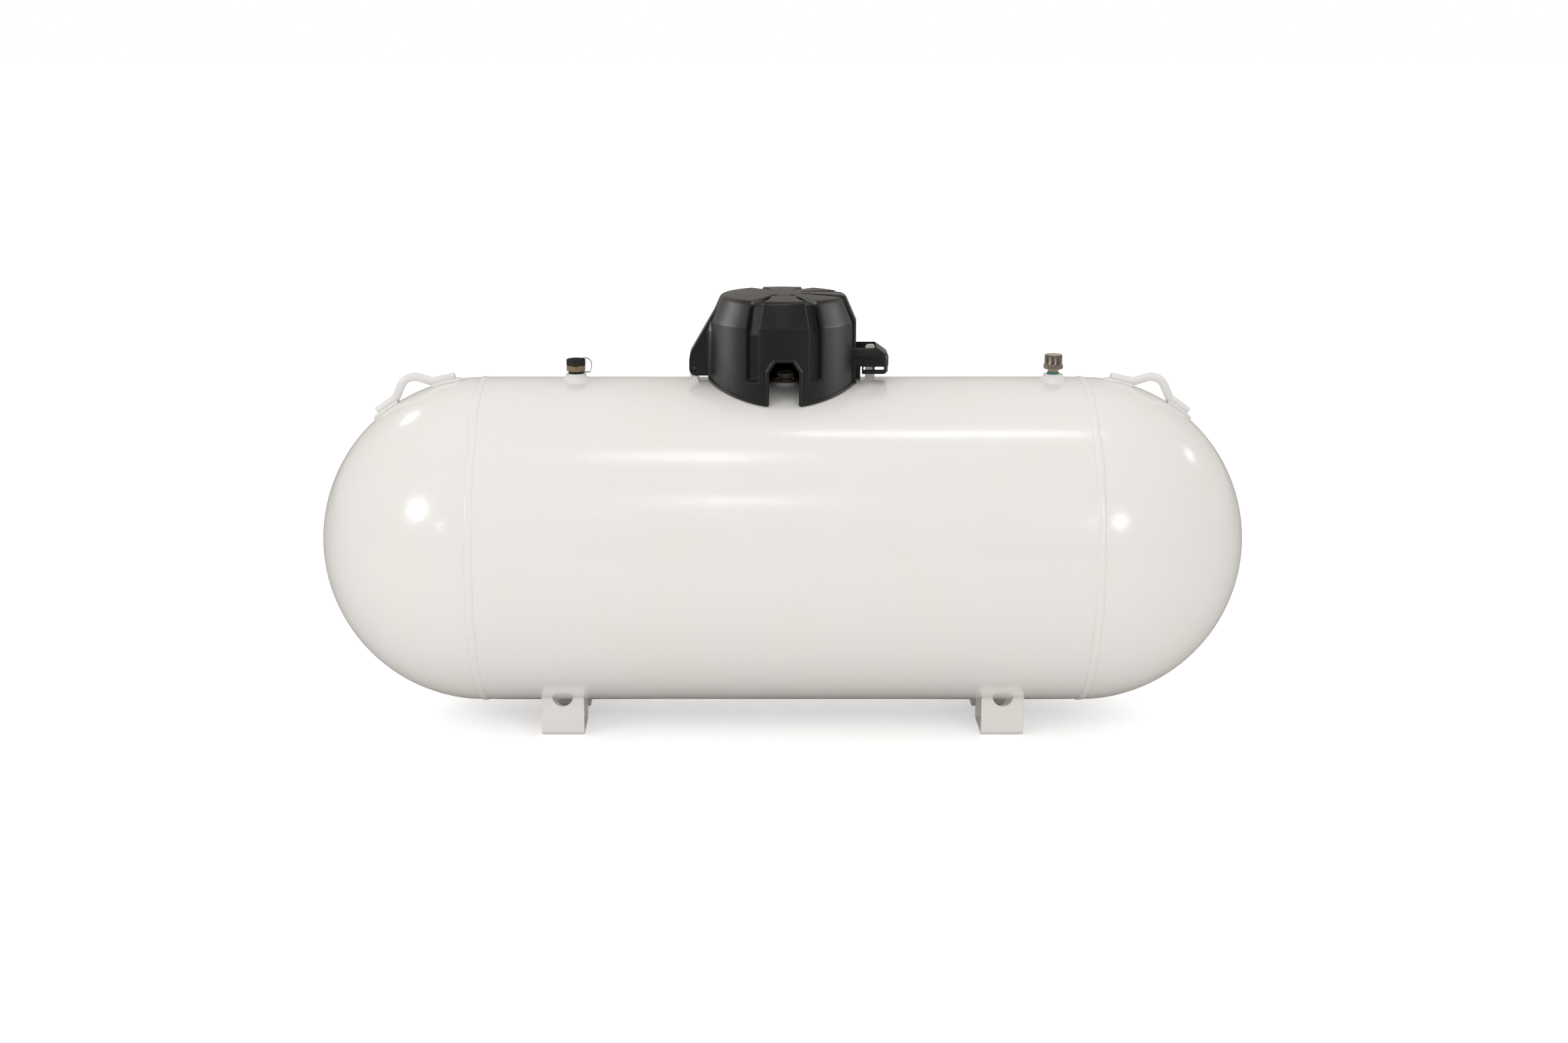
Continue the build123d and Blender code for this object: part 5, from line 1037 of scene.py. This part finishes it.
def side_prism(name, outline, radii, lo, hi, steps=8):
    """Prism along y from points (x, height above TOP)."""
    return prism(name, round_outline([(x, TOP + z) for x, z in outline], radii, steps), lo, hi)


far_y = 70.0  # past both sides of the guard
leg = [(LEG_X, LEG_LOW), (LEG_X, LEG_HIGH)]
side_view = [(150, LEG_LOW), *leg, (190, LEG_HIGH), (190, 21), (256, 21), (256, 90), (150, 90)]
cut(guard, side_prism("side_view", side_view, [1, 1, 9, 1, 1.5, 15, 1, 1], -far_y, far_y), "INTERSECT")
for x in (205.0, 232.0):
    slot = [(x - 11.5, 31.7), (x + 11.5, 31.7), (x + 11.5, 38.7), (x - 11.5, 38.7)]
    cut(guard, side_prism("slot", slot, 3.4, -far_y, far_y))
leg_view = [(160, LEG_LOW), *leg, (192, LEG_HIGH), (192, 52), (160, 52)]
for lo, hi in ((-60.0, -56.2), (56.2, 60.0)):
    cut(guard, side_prism("leg", leg_view, [1, 1, 9, 1, 1, 1], lo, hi), "UNION")
against_dome(guard, 0.9)

# Small rib on the wall inside the guard.
rib = prism("rib", box_outline(168, -15, 189, 15, [1, 4, 4, 1]), TOP - 6, TOP + 60, "xy")
rib_in = box_outline(150, -11.5, 185.5, 11.5, [1, 2, 2, 1])
cut(rib, prism("rib_in", rib_in, TOP - 20, TOP + 56.5, "xy"))
against_dome(rib, 0.8)
mouldings = [guard, rib]

# ---- hinge housing
PIVOT_X, PIVOT_Z = -216.0, 32.8
PIVOT = (PIVOT_X, 0, TOP + PIVOT_Z)
BORE_R = 3.05
# The sloping top edge runs from (SLOPE_X, SLOPE_Z) out and down to (-225, 68).
SLOPE_X, SLOPE_Z, SLOPE_OUT, SLOPE_LOW = -153.5, 192.0, -225.0, 68.0
ear_view = [(SLOPE_X, SLOPE_Z), (SLOPE_OUT, SLOPE_LOW), (-228, 52), (-228, 13), (-150, 13), (-150, SLOPE_Z)]
ear = side_prism("ear", ear_view, [1, 14, 10, 17, 1, 1], -34, 34, 10)
ear_in = [(-148, 186), (-150, 186), (-221.4, 66), (-240, 66), (-240, -10), (-148, -10)]
cut(ear, side_prism("ear_in", ear_in, [0.5, 1, 8, 0.5, 0.5, 0.5], -30, 30, 6))
cone = [(0, -80), (WALL_INSIDE, -80), (175.5, 146), (150, 204), (0, 204)]
cut(ear, lathe("inside", cone, (0, 0, TOP), 192))
cut(ear, rod("bore", BORE_R, -40, 40, PIVOT, 32, "y"))
bevel(ear, 1.4, 4, 40)
mouldings.append(crease(bake(ear), 45))
for y_side in (-1, 1):
    ring = [(BORE_R, 0), (4.4, 0), (4.4, 0.5), (4.0, 0.9), (3.4, 0.9), (BORE_R, 0.5), (BORE_R, 0)]
    ring = [(r, y_side * (33.9 + h)) for r, h in ring]
    mouldings.append(lathe("boss", ring, PIVOT, 48, "y"))


def flank(y_side):
    """Concave blend from the side of the hinge housing to the round wall, starting at a small step."""
    half, step, longest = 34.0, 0.9, 15.0
    rows = []
    for z in np.linspace(13.4, 150, 60):
        wall_r = DOME_R + 0.2 - max(0.0, z - SHOULDER) * 0.44
        corner = np.array([-math.sqrt(wall_r**2 - half**2), -half])
        slope_x = -(-SLOPE_X + (SLOPE_Z - z) * (SLOPE_X - SLOPE_OUT) / (SLOPE_Z - SLOPE_LOW))
        reach = max(0.6, min(longest, corner[0] - slope_x - 3.0))
        start = corner + np.array([-reach, -step])
        at = math.atan2(corner[1], corner[0]) + 2.0 * reach / wall_r
        end = np.array([math.cos(at), math.sin(at)]) * (wall_r + 0.1)
        t = np.linspace(0, 1, 14)[:, None]
        bend = (1 - t) ** 2 * start + 2 * t * (1 - t) * corner + t**2 * end
        hidden = [end * (176.6 / np.linalg.norm(end)), corner + (2.0, 3.0), start + (0, 3.0)]
        plan = np.concatenate([bend, hidden])
        rows.append(np.column_stack([plan[:, 0], plan[:, 1] * -y_side, np.full(len(plan), TOP + z)]))
    return crease(tube("flank", rows), 40)


mouldings += [flank(-1), flank(1)]
dome = join("dome_cover", [dome] + mouldings)
put(dome, "dome_hood", "dome", DOME_BLACK)

# Roll pin: a split spring tube.
pin_prof = [(1.75, -34.6), (2.6, -34.6), (2.98, -34.1), (2.98, 34.1), (2.6, 34.6), (1.75, 34.6)]
pin_prof.append(pin_prof[0])
pin = lathe("roll_pin", pin_prof, PIVOT, 64, "y")
slit = [(-4, -0.3), (0, -0.3), (0, 0.3), (-4, 0.3)]
cut(pin, prism("slit", [(PIVOT_X + x, TOP + PIVOT_Z + z) for x, z in slit], -40, 40))
crease(pin)
put(pin, "tank", "hinge_pin", STEEL)

# ==== left fitting: cap and strap
lq_x, lq_y, _, _ = upright("coupling_liquid")
CAP_R, CAP_Z0, CAP_Z1 = 23.3, 34.2, 49.0


def cap_grip(r, h, a):
    """Fine ribs round the skirt and a slanted cross-hatch on the crown."""
    side = (r > CAP_R - 1.0) & (h > CAP_Z0 + 1.5) & (h < CAP_Z1 - 3.0)
    r = r - np.where(side, 0.30 * (0.5 + 0.5 * np.cos(72 * a)), 0)
    x, y = r * np.cos(a), r * np.sin(a)
    groove = np.sin((x + y) * 1.35)
    crown = (r < 19.5) & (h > CAP_Z1 - 1.0)
    h = h + np.where(crown, 0.55 * np.clip(groove * 2.2, -1, 1), 0)
    return r, h


crown = [(r, CAP_Z1 + 1.5 * (1 - (r / 19.8) ** 2)) for r in np.linspace(0, 19.6, 46)]
shoulder = (21.2, CAP_Z1 - 0.4)
cap_prof = crown + [(20.0, CAP_Z1 - 0.5), shoulder]
cap_prof += fillet_path([shoulder, (CAP_R, CAP_Z1 - 0.4), (CAP_R, CAP_Z0)], 2.0, 6)[1:-1].tolist()
cap_prof += [(CAP_R, z) for z in np.linspace(CAP_Z1 - 4, CAP_Z0 + 0.8, 10)]
cap_in_r, cap_in_z = 20.1, 44.2
cap_prof += [(CAP_R - 0.3, CAP_Z0 + 0.2), (CAP_R - 1, CAP_Z0)]
cap_prof += [(cap_in_r, CAP_Z0), (cap_in_r, cap_in_z), (8, cap_in_z), (0, cap_in_z)]
cap = lathe("liquid_dust_cap", cap_prof, (lq_x, lq_y, TOP), 720, radius_fn=cap_grip)
put(cap, "liquid_cap_body", "liquid_cap", BLACK_RUBBER)

# Strap: a flat tongue over the crown, out past the skirt and down to the ring.
strap_pts = [(4, 50.6), (14, 50.6), (24.6, 51.9), (33.5, 48.2), (38.5, 40), (38.2, 28), (34.5, 18.8)]
strap_line = fillet_path(strap_pts, [3, 8, 8, 12, 14], 8)
strap_line = resample(strap_line, 1.4)
strap_world = np.stack([lq_x + strap_line[:, 0], lq_y + 0 * strap_line[:, 0], TOP + strap_line[:, 1]], 1)


def strap_section(_, s):
    wide = 2.6 + 2.2 * float(np.clip(1 - s / 9, 0, 1))
    return box_outline(-wide, -0.75, wide, 0.75, 0.5, 3)


strap = sweep("cap_strap", strap_world, strap_section, lambda p: (p[0] - lq_x - 14, 0, p[2] - TOP - 30))
crease(strap, 50)
coat_with(strap, BLACK_RUBBER)
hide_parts("liquid_strap")
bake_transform(strap)


# ==== springs
WELD_CAD = 5e-6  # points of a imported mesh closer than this, in metres, are one


def spring(name):
    """A coil copied from its CAD piece, its close points merged, in steel on the tank's body."""
    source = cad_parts[name]
    coil = new_object(name + "_coil", source.data.copy())
    coil.matrix_world = source.matrix_world
    crease(clean(coil, WELD_CAD), 50)
    put(coil, "tank", name, STEEL)
    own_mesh(coil)


spring("liquid_spring")
spring("relief_spring")
spring("fill_spring")


# ==== nodes shown as packed, with their edges eased
EASED = {  # width of the eased edges in millimetres
    STEEL: {
        "backing_rings": 0.5, "liquid_tube": 0.3, "service_stem": 0.3, "dip_tube": 0.2,
        "gauge_shaft": 0.2, "float_arm": 0.3,
    },
    THICK_PAINT: {"coupling_gauge": 0.8},
    BRASS: {
        "liquid_body": 0.5, "fill_body": 0.5, "service_body": 0.6, "outlet_plug": 0.4,
        "bleed_screw": 0.3,
    },
    BRASS_DULL: {
        "liquid_poppet": 0.3, "relief_poppet": 0.4, "fill_poppet": 0.3, "fill_check": 0.4,
        "fill_guide": 0.3, "service_bonnet": 0.4, "service_seat": 0.3,
    },
    GREY_GASKET: {"liquid_gasket": 0.3, "gauge_gasket": 0.2},
    BLACK_RUBBER: {"liquid_ring": 0.8},
    NICKEL: {"relief_body": 0.5},
    TEAL_SEAL: {"relief_sealant": 1.0},
    RAIN_CAP: {"relief_cap": 0.5},
    GASKET: {"fill_gasket": 0.3, "outlet_ring": 0.5},
    CAP_YELLOW: {"fill_cap": 0.6},
    WHEEL_RED: {"service_handwheel": 0.8},
    BRIGHT: {"handwheel_screw": 0.3, "gauge_screws": 0.3, "data_plate": 0.3},
    ALUMINIUM: {"gauge_head": 0.6, "gauge_tube": 0.3},
    DIAL: {"gauge_dial": 0.4},
    LENS: {"gauge_lens": 0.3},
    NEEDLE_RED: {"gauge_needle": 0.2},
    FLOAT_GREY: {"float_bulb": 0.0},
    PAINT: {"hinge_bracket": 1.0, "hasp": 0.9},
}
for material, pieces in EASED.items():
    for name, width in pieces.items():
        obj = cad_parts[name]
        mod = obj.modifiers.new("weld", "WELD")
        mod.merge_threshold = WELD_CAD
        if width:
            bevel(obj, width, 2, 30)
        coat_with(obj, material)

# ==== floor, light and camera
FLOOR, floor_tree, floor_bsdf = shader("floor", (0.93, 0.93, 0.93), 0.6, spec=0.2)
floor_grain = noise_node(floor_tree, coords(floor_tree), 40.0, 3)
ray = floor_tree.nodes.new("ShaderNodeLightPath").outputs
# Shiny surfaces see the floor painted dark and brownish, a painted shade in their reflections; the camera
# sees it evenly brightened by a faint glow.
feed(
    floor_bsdf,
    Roughness=map_range(floor_tree, floor_grain, 0.3, 0.7, 0.58, 0.64),
    Base_Color=mix_colour(floor_tree, ray["Is Glossy Ray"], (0.95, 0.95, 0.95), (0.36, 0.33, 0.30)),
    Emission_Color=(1, 1, 1, 1),
    Emission_Strength=map_range(floor_tree, ray["Is Camera Ray"], 0, 1, 0.0, 0.42),
)
size, floor_z = 60000.0, -0.5
floor_corners = [(x * size, y * size, floor_z) for x, y in ((-1, -1), (1, -1), (1, 1), (-1, 1))]
floor = make("floor", floor_corners, [(0, 1, 2, 3)], False)
floor.data.materials.append(FLOOR)


ROUND = "ELLIPSE"


def area_light(
    name, azimuth, elevation, distance, width, height, radiance, aim=(0, 0, 0.6), shape="RECTANGLE"
):
    """Softbox at an azimuth from the front, turning towards +X; distances and sizes are in metres."""
    data = bpy.data.lights.new(name, "AREA")
    data.shape = shape
    data.size, data.size_y = width, height
    area = width * height * (math.pi / 4 if shape == ROUND else 1)
    data.energy = radiance * math.pi * area
    obj = new_object(name, data)
    az, el = math.radians(azimuth), math.radians(elevation)
    direction = Vector((math.sin(az) * math.cos(el), -math.cos(az) * math.cos(el), math.sin(el)))
    obj.location = Vector(aim) + direction * distance
    obj.rotation_euler = (-direction).to_track_quat("-Z", "Y").to_euler()
    return obj


def only_on(light, piece):
    """Keep a softbox to one piece, as a flagged studio light is."""
    receivers = bpy.data.collections.new(light.name + "_receivers")
    receivers.objects.link(piece)
    light.light_linking.receiver_collection = receivers


area_light("overhead", 0, 87, 3.6, 1.3, 0.16, 9, aim=(0.75, 0, 0.85))
area_light("front_high", -11, 68, 4.5, 0.67, 0.5, 4)
area_light("front", -2, 37, 6.0, 0.53, 0.5, 5)
area_light("front_low", -6, 29, 6.0, 1.4, 0.06, 3)
area_light("left_front", -52, 23, 6.0, 1.5, 1.5, 6, shape=ROUND)
area_light("left_low", -33, 17, 6.0, 0.5, 0.5, 5, shape=ROUND)
area_light("left_back", -130, 36, 6.0, 0.8, 0.5, 5)
area_light("right_front", 27, 21, 6.5, 1.4, 1.2, 6, shape=ROUND)
area_light("right_back", 111, 25, 6.0, 0.6, 0.4, 5)
only_on(area_light("left_wall", -98, 14, 6.0, 3.0, 3.0, 6.0), dome)
only_on(area_light("right_wall", 88, 14, 6.0, 3.4, 3.0, 5.0), dome)
only_on(area_light("dome_top", -10, 62, 5.0, 2.2, 0.7, 5.0), dome)

world = bpy.data.worlds.new("studio")
bpy.context.scene.world = world
world.use_nodes = True
world_tree = world.node_tree
background = world_tree.nodes.get("Background") or world_tree.nodes.new("ShaderNodeBackground")
path = world_tree.nodes.new("ShaderNodeLightPath")
# Shiny surfaces see a darker room in front of the object and a paler one behind it.
where = world_tree.nodes.new("ShaderNodeTexCoord")
split = world_tree.nodes.new("ShaderNodeSeparateXYZ")
world_tree.links.new(where.outputs["Generated"], split.inputs[0])
behind = map_range(world_tree, split.outputs["Y"], -0.5, 0.7)
room = mix_colour(world_tree, behind, (0.055, 0.052, 0.050), (0.50, 0.465, 0.43))
# The soft fill is stronger from above than from the sides.
above = map_range(world_tree, split.outputs["Z"], -0.3, 0.9)
fill_light = mix_colour(world_tree, above, (0.67, 0.665, 0.66), (0.92, 0.915, 0.91))
not_shiny = mix_colour(world_tree, path.outputs["Is Glossy Ray"], fill_light, room)
seen = mix_colour(world_tree, path.outputs["Is Camera Ray"], not_shiny, (1.0, 1.0, 1.0))
feed(background, Color=seen, Strength=1.0)
out_node = world_tree.nodes.get("World Output") or world_tree.nodes.new("ShaderNodeOutputWorld")
feed(out_node, Surface=background.outputs[0])

TILT = math.radians(13.5)  # the camera looks down on the tank
DISTANCE = 5.624
cam_data = bpy.data.cameras.new("camera")
cam_data.sensor_width = 36.0
cam_data.lens = 51.94
cam_data.shift_x = 0.0253
cam_data.shift_y = 0.0104
camera = new_object("camera", cam_data)
camera.location = (-0.094, -DISTANCE * math.cos(TILT), AXIS * MM + DISTANCE * math.sin(TILT))
camera.rotation_euler = (math.pi / 2 - TILT, 0, 0)
bpy.context.scene.camera = camera
bpy.context.scene.view_settings.view_transform = "Standard"
bpy.context.scene.view_settings.look = "None"
